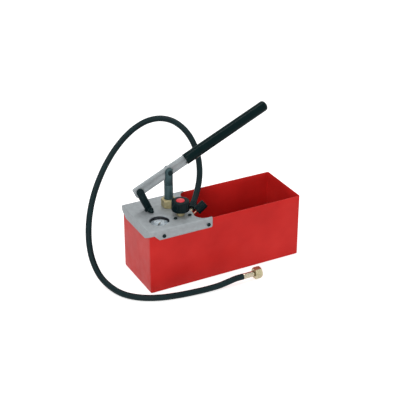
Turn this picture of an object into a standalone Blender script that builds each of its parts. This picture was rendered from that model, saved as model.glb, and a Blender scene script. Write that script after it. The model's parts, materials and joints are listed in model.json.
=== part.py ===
# Hand-operated hydrostatic test pump: an open sheet tank, a folded plate hooked over its left end,
# and a lever-worked plunger pump with a shut-off valve, a release valve, a gauge and a test hose.
# Frame: metres, +Z up, origin at the centre of the tank's underside, +X towards the tank's open
# end, -Y towards the face with the gauge and the knobs.

from math import acos, asin, atan2, cos, pi, radians, sin, sqrt

import bmesh
import bpy
from mathutils import Matrix, Vector

# Gaps, cuts and facets
SEAT_GAP = 0.0003
RUNNING_GAP = 0.0003
OVERRUN = 0.002
MERGE = 0.00002
LARGE_SIDES = 32
SMALL_SIDES = 20
TINY_SIDES = 12
SMOOTH_ANGLE = radians(35.0)
FLAT_ANGLE = radians(1.0)
HALF_STEP_SHARE = 0.5

# Tank of folded sheet
TANK_LENGTH = 0.380
TANK_WIDTH = 0.142
TANK_HEIGHT = 0.153
TANK_WALL = 0.0015
TANK_CORNER = 0.003

# Cover plate hooked over the tank's left end
PLATE_THICKNESS = 0.002
EAR_LENGTH = 0.0285
TONGUE_OVERHANG = 0.002
PLATE_FOLD = 0.0022
FLANGE_DEPTH = 0.024
FLANGE_LEDGE = 0.012
FLANGE_CHAMFER_RUN = 0.0125
FLANGE_CHAMFER_RISE = 0.0125
END_CHAMFER_RUN = 0.0235
EAR_CORNER = 0.004
EAR_WIDTH = 0.0043
NOTCH_RADIUS = 0.0225
NOTCH_SET = 0.0195
BACK_NOTCH_SHIFT = 0.015
BACK_NOTCH_LEAD = radians(17.0)
BACK_SHOULDER = 0.031

# Screws through the front and back flanges
FLANGE_SCREW_RADIUS = 0.0025
FLANGE_SCREW_DROP = 0.016
FLANGE_SCREW_LEFT_INSET = 0.0353
FLANGE_SCREW_RIGHT_INSET = 0.0095
FLANGE_HEAD_RADIUS = 0.0043
FLANGE_HEAD_HEIGHT = 0.003
FLANGE_NUT_ACROSS = 0.008
FLANGE_NUT_HEIGHT = 0.004
FLANGE_SCREW_TAIL = 0.0015

# Pump barrel, plunger and gland
PUMP_SETBACK = 0.004
PUMP_OFFSET = 0.020
PLUNGER_RADIUS = 0.0100
PLUNGER_DEPTH = 0.0373
BARREL_CLEARANCE = 0.0005
BARREL_RADIUS = 0.015
BARREL_FLOOR = 0.0037
COLLAR_RADIUS = 0.018
COLLAR_HEIGHT = 0.005
NECK_RADIUS = 0.0130
NECK_HEIGHT = 0.0047
PACKING_RADIUS = 0.0115
PACKING_HEIGHT = 0.0078
PACKING_PROUD = 0.0004
GLAND_ACROSS = 0.030
GLAND_HEIGHT = 0.020
GLAND_CHAMFER = 0.0015

# Fork on the plunger, its pins
FORK_PIN_HEIGHT = 0.0857
FORK_HEAD_RADIUS = 0.0103
FORK_SLOT_DEPTH = 0.0189
FORK_LENGTH = 0.031
FORK_SPIGOT_RADIUS = 0.0055
FORK_SPIGOT_LENGTH = 0.0105
ROLL_PIN_RISE = 0.0075
ROLL_PIN_RADIUS = 0.002
ROD_PIN_RADIUS = 0.004
ROD_PIN_HEAD_RADIUS = 0.0056
ROD_PIN_HEAD_HEIGHT = 0.0024
ROD_PIN_TAIL = 0.0026
PIN_CROWN_SHARE = 0.8
PIN_RIM_SHARE = 0.6
CLIP_WIDTH = 0.0016
CLIP_THICKNESS = 0.001

# Lever and grip
LEVER_ANGLE = radians(24.4)
LEVER_PIN_SPACING = 0.0785
LEVER_DEPTH = 0.0236
LEVER_RISE = 0.0010
LEVER_THICKNESS = 0.0055
LEVER_TIP = 0.012
LEVER_END_CORNER = 0.003
LEVER_SIDE_GAP = 0.0004
SLOT_TRAVEL = 0.0038
SLOT_SHIFT = -0.0003
SLOT_RISE = 0.0008
SLOT_SETTLE = -0.0002
GRIP_START = 0.1245
GRIP_LENGTH = 0.2255
GRIP_RADIUS = 0.0125
GRIP_END_RADIUS = 0.0122
GRIP_COLLAR = 0.0012
GRIP_NOSE_LENGTH = 0.0075
GRIP_NOSE_SHARES = ((0.55, 0.12), (0.87, 0.45), (1.0, 1.0))
TANG_DEPTH = 0.011
TANG_LENGTH = 0.175

# Link between the plate and the lever's tail
LINK_FOOT_SETBACK = 0.0505
LINK_FOOT_HEIGHT = 0.0072
LINK_TOP_RADIUS = 0.0083
LINK_FOOT_RADIUS = 0.0069
LINK_STRAP_THICKNESS = 0.004
LINK_PIN_RADIUS = 0.0035
LINK_PIN_HEAD_RADIUS = 0.0048
LINK_PIN_HEAD_HEIGHT = 0.0016
LINK_PIN_TAIL = 0.0024
FOOT_NUT_ACROSS = 0.0115
FOOT_NUT_HEIGHT = 0.0075
FOOT_PIN_TAIL = 0.0075
FOOT_HEAD_ACROSS = 0.0115
FOOT_HEAD_HEIGHT = 0.005
LUG_WIDTH = 0.016
LUG_SHANK_RADIUS = 0.003
LUG_SHANK_LENGTH = 0.012
LUG_NUT_ACROSS = 0.010
LUG_NUT_HEIGHT = 0.005

# Valve block under the plate
BLOCK_LENGTH = 0.054
BLOCK_WIDTH = 0.042
BLOCK_HEIGHT = 0.032
BLOCK_OFFSET = -0.025
BLOCK_BEVEL = 0.001
BLOCK_SCREW_SPACING = 0.0354
BLOCK_SCREW_OFFSET = -0.0412
BLOCK_SCREW_RADIUS = 0.0025
BLOCK_SCREW_HEAD_RADIUS = 0.0050
BLOCK_SCREW_HEAD_HEIGHT = 0.0026
BLOCK_SCREW_LENGTH = 0.014

# Shut-off valve on top of the block
SHUTOFF_OFFSET = -0.0305
BONNET_SPIGOT_RADIUS = 0.007
BONNET_SPIGOT_LENGTH = 0.012
BONNET_ACROSS = 0.016
BONNET_HEX_HEIGHT = 0.0074
BONNET_NECK_RADIUS = 0.0055
BONNET_NECK_HEIGHT = 0.0045
SHUTOFF_SPINDLE_RADIUS = 0.0035
SHUTOFF_TIP_LENGTH = 0.0035
SHUTOFF_CHAMBER_DEPTH = 0.0235
SHUTOFF_CHAMBER_GAP = 0.0006
KNOB_LIFT = 0.013
KNOB_RADIUS = 0.020
KNOB_HEIGHT = 0.023
KNOB_RIBS = 18
KNOB_RIB_DEPTH = 0.0008
RIB_LAND_SHARE = 0.5
RIB_GROOVE_SHARES = (0.65, 0.85)
KNOB_EDGE = 0.0016
KNOB_ROOF = 0.005
CAP_RADIUS = 0.0095
CAP_RECESS = 0.0016
CAP_DOME = 0.0014
CAP_CROWN_SHARE = 0.6
CAP_SHOULDER_SHARE = 0.35

# Release valve in the block's right face
RELEASE_TILT = radians(36.0)
RELEASE_DROP = 0.0079
RELEASE_SLEEVE_RADIUS = 0.0045
RELEASE_SLEEVE_DEPTH = 0.012
RELEASE_SLEEVE_PROUD = 0.0044
RELEASE_STEM_RADIUS = 0.0026
RELEASE_STEM_DEPTH = 0.0155
RELEASE_STEM_SOCKET = 0.009
RELEASE_KNOB_START = 0.0171
RELEASE_KNOB_LENGTH = 0.0249
RELEASE_KNOB_RADIUS = 0.010
RELEASE_KNOB_RIBS = 12
RELEASE_RIB_DEPTH = 0.0006
RELEASE_EDGE = 0.0012

# Gauge that looks up through the plate
GAUGE_INSET = 0.0434
GAUGE_HOLE_RADIUS = 0.0226
GAUGE_RADIUS = 0.0254
GAUGE_WALL_GAP = 0.0112
GAUGE_BLOCK_GAP = 0.0005
GAUGE_BEZEL_HEIGHT = 0.0019
GAUGE_BEZEL_RADIUS = 0.0215
GAUGE_CASE_HEIGHT = 0.0264
GAUGE_CASE_FLOOR = 0.002
GAUGE_WINDOW_RADIUS = 0.0230
GAUGE_WINDOW_THICKNESS = 0.0016
GAUGE_DIAL_RADIUS = 0.0210
GAUGE_DIAL_THICKNESS = 0.0008
GAUGE_DIAL_DEPTH = 0.003
GAUGE_LEDGE = 0.0025
GAUGE_STEM_RADIUS = 0.0045
GAUGE_STEM_DROP = 0.0190
GAUGE_STEM_GRIP = 0.010
MOVEMENT_LENGTH = 0.018
MOVEMENT_WIDTH = 0.014
MOVEMENT_HEIGHT = 0.0118
BOURDON_RADIUS = 0.0145
BOURDON_TUBE_RADIUS = 0.0016
BOURDON_SWEEP = radians(250.0)
BOURDON_START = radians(-6.0)
BOURDON_SINK = 0.0008
POINTER_LENGTH = 0.0155
POINTER_TAIL = 0.0055
POINTER_WIDTH = 0.0016
POINTER_THICKNESS = 0.0006
POINTER_HUB_RADIUS = 0.0022
POINTER_ARBOR_RADIUS = 0.0009
POINTER_HEIGHT = 0.001
POINTER_ZERO = radians(225.0)

# Foot valve, strainer and transfer pipe
FOOT_LENGTH = 0.054
FOOT_WIDTH = 0.032
FOOT_HEIGHT = 0.044
FOOT_CLEARANCE = 0.0185
FOOT_SHIFT = 0.009
FOOT_BEVEL = 0.001
SPIGOT_RADIUS = 0.011
SPIGOT_LENGTH = 0.0177
PORT_RADIUS = 0.003
CHAMBER_RADIUS = 0.006
CHAMBER_HEIGHT = 0.018
SEAT_RADIUS = 0.0035
SEAT_THICKNESS = 0.003
BALL_RADIUS = 0.0045
DELIVERY_REACH = 0.024
DELIVERY_SEAT_HEIGHT = 0.024
GALLERY_HEIGHT = 0.020
GALLERY_RADIUS = 0.0025
SPRING_RADIUS = 0.0030
SPRING_WIRE_RADIUS = 0.0004
SPRING_TURNS = 4
UNION_ACROSS = 0.017
UNION_HEIGHT = 0.008
UNION_SPIGOT_LENGTH = 0.0047
PIPE_RADIUS = 0.004
PIPE_SOCKET = 0.005
PIPE_BLOCK_SOCKET = 0.008
PIPE_TOP_OFFSET = -0.020
PIPE_TOP_SHIFT = 0.016
STRAINER_RADIUS = 0.012
STRAINER_CUP_RADIUS = 0.0100
STRAINER_SPIGOT_RADIUS = 0.008
STRAINER_SPIGOT_LENGTH = 0.0044
STRAINER_FLANGE = 0.0027
STRAINER_HEIGHT = 0.0145
STRAINER_WALL = 0.0015
STRAINER_SLOTS = 8
STRAINER_SLOT_WIDTH = 0.003
STRAINER_SLOT_HEIGHT = 0.007

# Hose and its fittings
HOSE_RADIUS = 0.007
HOSE_STEP = 0.022
HOSE_LEAD = 0.010
FERRULE_RADIUS = 0.0085
FERRULE_LENGTH = 0.020
ELBOW_RADIUS = 0.0045
ELBOW_GRIP = 0.008
ELBOW_STRAIGHT = 0.002
ELBOW_SOCKET = 0.006
OUTLET_OFFSET = -0.0119
OUTLET_DROP = 0.0075
END_FERRULE_RADIUS = 0.0066
END_FERRULE_LENGTH = 0.0277
TAIL_RADIUS = 0.0047
TAIL_BORE = 0.003
TAIL_FLANGE_RADIUS = 0.0088
TAIL_FLANGE_THICKNESS = 0.003
NUT_ACROSS = 0.0240
NUT_LENGTH = 0.017
NUT_BACK_WALL = 0.003
NUT_BORE_RADIUS = 0.0093
NUT_CHAMFER = 0.0014
WASHER_THICKNESS = 0.002

# The hose's own route, from the ferrule at the pump to the ferrule at its free end, with x
# measured from the valve block's right face
HOSE_ROUTE = [
    (0.0267, 0.0113, 0.1524),
    (0.0329, 0.0188, 0.1549),
    (0.0390, 0.0256, 0.1583),
    (0.0493, 0.0370, 0.1661),
    (0.0570, 0.0457, 0.1744),
    (0.0631, 0.0531, 0.1835),
    (0.0696, 0.0632, 0.1981),
    (0.0741, 0.0752, 0.2174),
    (0.0753, 0.0874, 0.2361),
    (0.0741, 0.1009, 0.2532),
    (0.0698, 0.1186, 0.2702),
    (0.0612, 0.1390, 0.2843),
    (0.0476, 0.1602, 0.2936),
    (0.0272, 0.1809, 0.2954),
    (0.0033, 0.1954, 0.2891),
    (-0.0244, 0.2023, 0.2756),
    (-0.0529, 0.2007, 0.2582),
    (-0.0829, 0.1907, 0.2381),
    (-0.1136, 0.1722, 0.2168),
    (-0.1437, 0.1475, 0.1936),
    (-0.1695, 0.1229, 0.1679),
    (-0.1890, 0.1003, 0.1404),
    (-0.2020, 0.0809, 0.1123),
    (-0.2095, 0.0628, 0.0818),
    (-0.2109, 0.0429, 0.0501),
    (-0.2054, 0.0158, 0.0223),
    (-0.1930, -0.0220, 0.0084),
    (-0.1770, -0.0600, 0.0075),
    (-0.1500, -0.0870, 0.0075),
    (-0.1150, -0.1045, 0.0075),
    (-0.0770, -0.1140, 0.0075),
    (-0.0350, -0.1195, 0.0075),
    (-0.0040, -0.1218, 0.0077),
    (0.0220, -0.1232, 0.0092),
    (0.0450, -0.1240, 0.0130),
    (0.0650, -0.1240, 0.0158),
    (0.0810, -0.1240, 0.0158),
]

# Places worked out from the sizes above
PLATE_UNDER = TANK_HEIGHT + SEAT_GAP
PLATE_TOP = PLATE_UNDER + PLATE_THICKNESS
PLATE_LEFT = -(TANK_LENGTH / 2 + SEAT_GAP + PLATE_THICKNESS)
PLATE_SIDE = TANK_WIDTH / 2 + SEAT_GAP + PLATE_THICKNESS
PLATE_BOTTOM = PLATE_TOP - FLANGE_DEPTH
UNDER_PLATE = PLATE_UNDER - SEAT_GAP
ON_PLATE = PLATE_TOP + SEAT_GAP

GAUGE_X = PLATE_LEFT + GAUGE_INSET
GAUGE_Y = GAUGE_RADIUS + GAUGE_WALL_GAP + TANK_WALL - TANK_WIDTH / 2
BLOCK_LEFT = GAUGE_X + GAUGE_RADIUS + GAUGE_BLOCK_GAP
BLOCK_RIGHT = BLOCK_LEFT + BLOCK_LENGTH
TONGUE_EDGE = BLOCK_RIGHT + TONGUE_OVERHANG
PLATE_RIGHT = TONGUE_EDGE + EAR_LENGTH
PLATE_LENGTH = PLATE_RIGHT - PLATE_LEFT
SHUTOFF_X = (BLOCK_LEFT + BLOCK_RIGHT) / 2
SHUTOFF_Y = SHUTOFF_OFFSET
PUMP_X = SHUTOFF_X - PUMP_SETBACK
PUMP_Y = PUMP_OFFSET
BLOCK_TOP = UNDER_PLATE
BLOCK_BOTTOM = BLOCK_TOP - BLOCK_HEIGHT

PIN_Z = PLATE_TOP + FORK_PIN_HEIGHT
LEVER_ALONG = Vector((cos(LEVER_ANGLE), 0, sin(LEVER_ANGLE)))
ROD_PIN_AT = Vector((PUMP_X, PUMP_Y, PIN_Z))
LINK_TOP_AT = ROD_PIN_AT - LEVER_ALONG * LEVER_PIN_SPACING
LINK_FOOT_AT = Vector((PUMP_X - LINK_FOOT_SETBACK, PUMP_Y, PLATE_TOP + LINK_FOOT_HEIGHT))
LINK_SPAN = (LINK_TOP_AT - LINK_FOOT_AT).length
LINK_LEAN = atan2(LINK_FOOT_AT.x - LINK_TOP_AT.x, LINK_TOP_AT.z - LINK_FOOT_AT.z)
LEVER_HALF = LEVER_THICKNESS / 2
STRAP_INNER = LEVER_HALF + LEVER_SIDE_GAP
STRAP_OUTER = STRAP_INNER + LINK_STRAP_THICKNESS

PLUNGER_BOTTOM = PLATE_TOP - PLUNGER_DEPTH
FORK_SEAM = PIN_Z - FORK_LENGTH
FOOT_BOTTOM = TANK_WALL + FOOT_CLEARANCE
FOOT_TOP = FOOT_BOTTOM + FOOT_HEIGHT
BARREL_SHOULDER = FOOT_TOP + SEAT_GAP
BARREL_TIP = FOOT_TOP - SPIGOT_LENGTH
BARREL_BORE_END = BARREL_SHOULDER + BARREL_FLOOR
NECK_TOP = PLATE_TOP + NECK_HEIGHT

FOOT_X = PUMP_X + FOOT_SHIFT
DELIVERY_X = PUMP_X + DELIVERY_REACH
SUCTION_SEAT = BARREL_TIP - SEAT_GAP - CHAMBER_HEIGHT
DELIVERY_SEAT = FOOT_BOTTOM + DELIVERY_SEAT_HEIGHT
BALL_LIFT = sqrt((BALL_RADIUS + SEAT_GAP) ** 2 - SEAT_RADIUS**2)

RELEASE_ALONG = Vector((cos(RELEASE_TILT), 0, sin(RELEASE_TILT)))
RELEASE_AT = Vector((BLOCK_RIGHT, SHUTOFF_Y, BLOCK_TOP - RELEASE_DROP))

BEZEL_TOP = PLATE_UNDER - SEAT_GAP
CASE_TOP = BEZEL_TOP - GAUGE_BEZEL_HEIGHT
WINDOW_TOP = CASE_TOP - SEAT_GAP
WINDOW_BOTTOM = WINDOW_TOP - GAUGE_WINDOW_THICKNESS
DIAL_TOP = WINDOW_BOTTOM - GAUGE_DIAL_DEPTH
DIAL_BOTTOM = DIAL_TOP - GAUGE_DIAL_THICKNESS
CASE_BOTTOM = CASE_TOP - GAUGE_CASE_HEIGHT
GAUGE_STEM_Z = PLATE_UNDER - GAUGE_STEM_DROP

HOSE_LINE = [Vector((BLOCK_RIGHT + x, y, z)) for x, y, z in HOSE_ROUTE]
HOSE_START = HOSE_LINE[0]
HOSE_OUT = (HOSE_LINE[1] - HOSE_START).normalized()
HOSE_END = HOSE_LINE[-1]
FERRULE_BACK = HOSE_START - HOSE_OUT * (SEAT_GAP + FERRULE_LENGTH)
OUTLET_AT = Vector((BLOCK_RIGHT, OUTLET_OFFSET, BLOCK_TOP - OUTLET_DROP))
END_FERRULE_X = HOSE_END.x + SEAT_GAP
TAIL_X = END_FERRULE_X + END_FERRULE_LENGTH + SEAT_GAP
NUT_X = TAIL_X + SEAT_GAP
TAIL_FLANGE_X = NUT_X + NUT_BACK_WALL + SEAT_GAP

# Finishes: sRGB colour, roughness, metallic
FINISHES = {
    "red_enamel": ((0.78, 0.16, 0.16), 0.35, 0.0),
    "zinc_sheet": ((0.60, 0.62, 0.63), 0.45, 0.7),
    "zinc_bar": ((0.62, 0.64, 0.66), 0.40, 0.8),
    "ground_steel": ((0.36, 0.43, 0.44), 0.30, 0.9),
    "dark_steel": ((0.10, 0.14, 0.15), 0.45, 0.6),
    "brass": ((0.72, 0.64, 0.42), 0.30, 0.9),
    "copper": ((0.72, 0.45, 0.33), 0.30, 0.9),
    "black_plastic": ((0.05, 0.09, 0.10), 0.35, 0.0),
    "red_plastic": ((0.85, 0.20, 0.25), 0.35, 0.0),
    "black_rubber": ((0.07, 0.12, 0.13), 0.55, 0.0),
    "white_enamel": ((0.92, 0.92, 0.90), 0.40, 0.0),
    "clear_glass": ((0.90, 0.93, 0.94), 0.05, 0.0),
    "seal_fibre": ((0.50, 0.30, 0.22), 0.70, 0.0),
    "spring_steel": ((0.55, 0.56, 0.57), 0.30, 0.9),
}


def report(name, *values):
    print(name, *(round(value, 5) for value in values))


def clear_scene():
    for old in list(bpy.data.objects):
        bpy.data.objects.remove(old, do_unlink=True)


def make_collection(name):
    collection = bpy.data.collections.new(name)
    bpy.context.scene.collection.children.link(collection)
    return collection


clear_scene()
PARTS = make_collection("hydrostatic_test_pump")
CUTTERS = make_collection("cutters")


def dress(obj, finish):
    """Gives the object its own material in one of the finishes."""
    colour, roughness, metallic = FINISHES[finish]
    material = bpy.data.materials.new(obj.name + "_" + finish)
    material.use_nodes = True
    shader = material.node_tree.nodes["Principled BSDF"]
    shader.inputs["Base Color"].default_value = (*(channel**2.2 for channel in colour), 1)
    shader.inputs["Roughness"].default_value = roughness
    shader.inputs["Metallic"].default_value = metallic
    obj.data.materials.clear()
    obj.data.materials.append(material)
    return obj


def add_object(name, data, collection):
    obj = bpy.data.objects.new(name, data)
    collection.objects.link(obj)
    return obj


def from_bmesh(name, shape, collection=PARTS, smooth=True):
    mesh = bpy.data.meshes.new(name)
    bmesh.ops.recalc_face_normals(shape, faces=shape.faces)
    shape.to_mesh(mesh)
    shape.free()
    if smooth:
        mesh.shade_smooth()
        mesh.set_sharp_from_angle(angle=SMOOTH_ANGLE)
    return add_object(name, mesh, collection)


def baked(obj):
    """The object's evaluated mesh, in world space, with loose caps welded; the object is removed."""
    bpy.context.view_layer.update()
    graph = bpy.context.evaluated_depsgraph_get()
    mesh = bpy.data.meshes.new_from_object(obj.evaluated_get(graph))
    mesh.transform(obj.matrix_world)
    bpy.data.objects.remove(obj, do_unlink=True)
    shape = bmesh.new()
    shape.from_mesh(mesh)
    bmesh.ops.remove_doubles(shape, verts=shape.verts, dist=MERGE)
    return shape


def copies(obj, places, finish, collection=PARTS):
    """A copy of the solid for each named place; all of them share one mesh."""
    shape = baked(obj)
    made = []
    for name, place in places.items():
        if made:
            copy = add_object(name, made[0].data, collection)
        else:
            copy = dress(from_bmesh(name, shape, collection), finish)
        copy.matrix_world = place
        made.append(copy)
    return made


def box(name, low, high, collection=PARTS, bevel=0.0):
    shape = bmesh.new()
    bmesh.ops.create_cube(shape, size=1.0)
    low, high = Vector(low), Vector(high)
    size = high - low
    bmesh.ops.scale(shape, vec=size, verts=shape.verts)
    bmesh.ops.translate(shape, vec=(low + high) / 2, verts=shape.verts)
    if bevel:
        bmesh.ops.bevel(shape, geom=shape.edges, offset=bevel, segments=1, affect="EDGES")
    return from_bmesh(name, shape, collection, smooth=False)


def aim(start, direction):
    """A matrix that puts the origin at start and turns +Z to the direction."""
    turn = Vector(direction).to_track_quat("Z", "Y").to_matrix().to_4x4()
    return Matrix.Translation(Vector(start)) @ turn


def rod(name, radius, start, end, sides=SMALL_SIDES, collection=PARTS, tip_radius=None):
    """A cylinder, or a hexagon with 6 sides, between two points."""
    start, end = Vector(start), Vector(end)
    length = (end - start).length
    shape = bmesh.new()
    bmesh.ops.create_cone(
        shape,
        cap_ends=True,
        segments=sides,
        radius1=radius,
        radius2=radius if tip_radius is None else tip_radius,
        depth=length,
    )
    bmesh.ops.translate(shape, vec=(0, 0, length / 2), verts=shape.verts)
    obj = from_bmesh(name, shape, collection)
    obj.matrix_world = aim(start, end - start)
    return obj


def turned(name, profile, place=None, sides=LARGE_SIDES, collection=PARTS):
    """A solid of revolution: the profile (radius, height) runs down its outer side."""
    mesh = bpy.data.meshes.new(name)
    closed = profile[0][0] > 0
    links = [(i, i + 1) for i in range(len(profile) - 1)]
    if closed:
        links.append((len(profile) - 1, 0))
    mesh.from_pydata([(radius, 0, height) for radius, height in profile], links, [])
    obj = add_object(name, mesh, collection)
    screw = obj.modifiers.new("turn", "SCREW")
    screw.steps = sides
    screw.render_steps = sides
    screw.use_merge_vertices = True
    screw.merge_threshold = MERGE
    screw.use_smooth_shade = True
    if place is not None:
        obj.matrix_world = place
    return obj


def outline_solid(name, points, thickness, place=None, collection=PARTS, edge=0.0):
    """A flat outline in local XY given a thickness, centred on its plane, as a mesh."""
    curve = bpy.data.curves.new(name, "CURVE")
    curve.dimensions = "2D"
    curve.fill_mode = "BOTH"
    curve.extrude = thickness / 2 - edge
    curve.bevel_depth = edge
    curve.bevel_resolution = 1 if edge else 0
    curve.offset = -edge
    spline = curve.splines.new("POLY")
    spline.points.add(len(points) - 1)
    for point, (x, y) in zip(spline.points, points):
        point.co = (x, y, 0, 1)
    spline.use_cyclic_u = True
    flat = add_object(name + "_outline", curve, collection)
    shape = baked(flat)
    bmesh.ops.dissolve_limit(shape, angle_limit=FLAT_ANGLE, verts=shape.verts, edges=shape.edges)
    if place is not None:
        bmesh.ops.transform(shape, matrix=place, verts=shape.verts)
    return from_bmesh(name, shape, collection)


def tube(name, points, radius, resolution, collection=PARTS):
    """A round tube along a smooth run of points, with filled ends."""
    curve = bpy.data.curves.new(name, "CURVE")
    curve.dimensions = "3D"
    curve.bevel_depth = radius
    curve.bevel_resolution = resolution
    curve.use_fill_caps = True
    spline = curve.splines.new("POLY")
    spline.points.add(len(points) - 1)
    for point, at in zip(spline.points, points):
        point.co = (*at, 1)
    return add_object(name, curve, collection)


def combine(target, other, operation):
    """Cuts the other solid from the target, or joins it on."""
    if other.name not in CUTTERS.objects:
        PARTS.objects.unlink(other)
        CUTTERS.objects.link(other)
    other.hide_render = True
    other.display_type = "WIRE"
    step = target.modifiers.new(other.name, "BOOLEAN")
    step.operation = operation
    step.solver = "EXACT"
    step.object = other
    return target


def cut(target, *others):
    for other in others:
        combine(target, other, "DIFFERENCE")
    return target


def join(target, *others):
    for other in others:
        combine(target, other, "UNION")
    return target


def drill(target, radius, start, end, sides=SMALL_SIDES):
    """A round hole from start to end, which the caller has run past the faces."""
    name = target.name + "_hole_" + str(len(target.modifiers))
    return cut(target, rod(name, radius, start, end, sides, CUTTERS))


def across_corners(across_flats):
    return across_flats / 2 / cos(pi / 6)


def along_y(x, z, thickness_centre_y=0.0):
    """Stands an outline up in the XZ plane at a given y."""
    return Matrix.Translation((x, thickness_centre_y, z)) @ Matrix.Rotation(pi / 2, 4, "X")


def arc(centre_x, centre_y, radius, start, end, steps):
    points = []
    for i in range(steps + 1):
        angle = start + (end - start) * i / steps
        points.append((centre_x + radius * cos(angle), centre_y + radius * sin(angle)))
    return points


def lobed_outline(radius, ribs, depth):
    """The outline of a ribbed grip: flat-topped ribs with a groove between each two."""
    points = []
    corners = [(0, 0), (RIB_LAND_SHARE, 0)]
    corners += [(share, depth) for share in RIB_GROOVE_SHARES]
    for i in range(ribs):
        for share, inset in corners:
            angle = 2 * pi * (i + share) / ribs
            points.append(((radius - inset) * cos(angle), (radius - inset) * sin(angle)))
    return points


def smooth_route(points, step, lead):
    """Points at even steps along a cubic through the given points, with a straight lead at each end."""
    knots = [0]
    for a, b in zip(points, points[1:]):
        knots.append(knots[-1] + (b - a).length)
    slopes = []
    for i in range(len(points)):
        if i == 0:
            slopes.append((points[1] - points[0]).normalized())
        elif i == len(points) - 1:
            slopes.append((points[-1] - points[-2]).normalized())
        else:
            before = (points[i] - points[i - 1]) / (knots[i] - knots[i - 1])
            after = (points[i + 1] - points[i]) / (knots[i + 1] - knots[i])
            share = (knots[i] - knots[i - 1]) / (knots[i + 1] - knots[i - 1])
            slopes.append(before.lerp(after, share))
    count = round(knots[-1] / step)
    route = []
    span = 0
    for n in range(count + 1):
        at = knots[-1] * n / count
        while span < len(points) - 2 and at > knots[span + 1]:
            span += 1
        width = knots[span + 1] - knots[span]
        u = (at - knots[span]) / width
        route.append(
            points[span] * (1 + 2 * u) * (1 - u) ** 2
            + slopes[span] * (width * u * (1 - u) ** 2)
            + points[span + 1] * (u * u * (3 - 2 * u))
            + slopes[span + 1] * (width * u * u * (u - 1))
        )
    first = route[0] + slopes[0] * lead
    last = route[-1] - slopes[-1] * lead
    return [route[0], first, *route[1:-1], last, route[-1]]


def bent_run(start, start_heading, end, end_heading, reach, count):
    """A smooth bend between two points, each with its heading."""
    start, end = Vector(start), Vector(end)
    first = start + Vector(start_heading) * reach
    last = end - Vector(end_heading) * reach
    run = []
    for n in range(count + 1):
        u = n / count
        v = 1 - u
        run.append(start * v**3 + first * (3 * u * v * v) + last * (3 * u * u * v) + end * u**3)
    return run


def flange_screw_places():
    """Where each flange screw enters: x, side (-1 front, 1 back) and height."""
    height = PLATE_TOP - FLANGE_SCREW_DROP
    left = PLATE_LEFT + FLANGE_SCREW_LEFT_INSET
    right = PLATE_RIGHT - FLANGE_SCREW_RIGHT_INSET
    return {
        "front_left": (left, -1, height),
        "front_right": (right, -1, height),
        "back_left": (left, 1, height),
        "back_right": (right, 1, height),
    }


def drill_flange_holes(target):
    for x, side, height in flange_screw_places().values():
        inner = side * (TANK_WIDTH / 2 - TANK_WALL - OVERRUN)
        outer = side * (PLATE_SIDE + OVERRUN)
        radius = FLANGE_SCREW_RADIUS + RUNNING_GAP
        drill(target, radius, (x, inner, height), (x, outer, height), TINY_SIDES)


def make_tank():
    shape = bmesh.new()
    bmesh.ops.create_cube(shape, size=1.0)
    bmesh.ops.scale(shape, vec=(TANK_LENGTH, TANK_WIDTH, TANK_HEIGHT), verts=shape.verts)
    bmesh.ops.translate(shape, vec=(0, 0, TANK_HEIGHT / 2), verts=shape.verts)
    upright = [e for e in shape.edges if abs(e.verts[0].co.z - e.verts[1].co.z) > TANK_HEIGHT / 2]
    bmesh.ops.bevel(shape, geom=upright, offset=TANK_CORNER, segments=2, profile=0.5, affect="EDGES")
    lid = [f for f in shape.faces if f.normal.z > cos(pi / 4)]
    bmesh.ops.delete(shape, geom=lid, context="FACES_ONLY")
    tank = dress(from_bmesh("tank", shape), "red_enamel")
    wall = tank.modifiers.new("wall", "SOLIDIFY")
    wall.thickness = TANK_WALL
    wall.offset = -1
    wall.use_even_offset = True
    drill_flange_holes(tank)


def plate_notch_outline():
    """The space right of the plate's tongue, with a round notch on each side, the back one further right."""
    centre_x = TONGUE_EDGE + NOTCH_SET
    back_x = centre_x + BACK_NOTCH_SHIFT
    centre_y = PLATE_SIDE - EAR_WIDTH - NOTCH_RADIUS
    meeting = acos(NOTCH_SET / NOTCH_RADIUS)
    steps = 12
    back = arc(back_x, centre_y, NOTCH_RADIUS, pi + BACK_NOTCH_LEAD, pi / 2, steps)
    mirrored = arc(centre_x, centre_y, NOTCH_RADIUS, pi + meeting, pi / 2, steps)
    front = [(x, -y) for x, y in reversed(mirrored)]
    beyond = back_x + OVERRUN
    edge_y = centre_y + NOTCH_RADIUS
    return [(TONGUE_EDGE, BACK_SHOULDER)] + back + [(beyond, edge_y), (beyond, -edge_y)] + front


def flange_corner_outline(left, ledge, run):
    """What is cut from the lower corner of a flange that starts at left: a ledge, then a chamfer."""
    slope = FLANGE_CHAMFER_RISE / run
    low = PLATE_BOTTOM - OVERRUN
    ledge_z = PLATE_BOTTOM + FLANGE_CHAMFER_RISE
    return [
        (left - OVERRUN, low),
        (left + ledge + run + OVERRUN / slope, low),
        (left + ledge, ledge_z),
        (left - OVERRUN, ledge_z),
    ]


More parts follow.
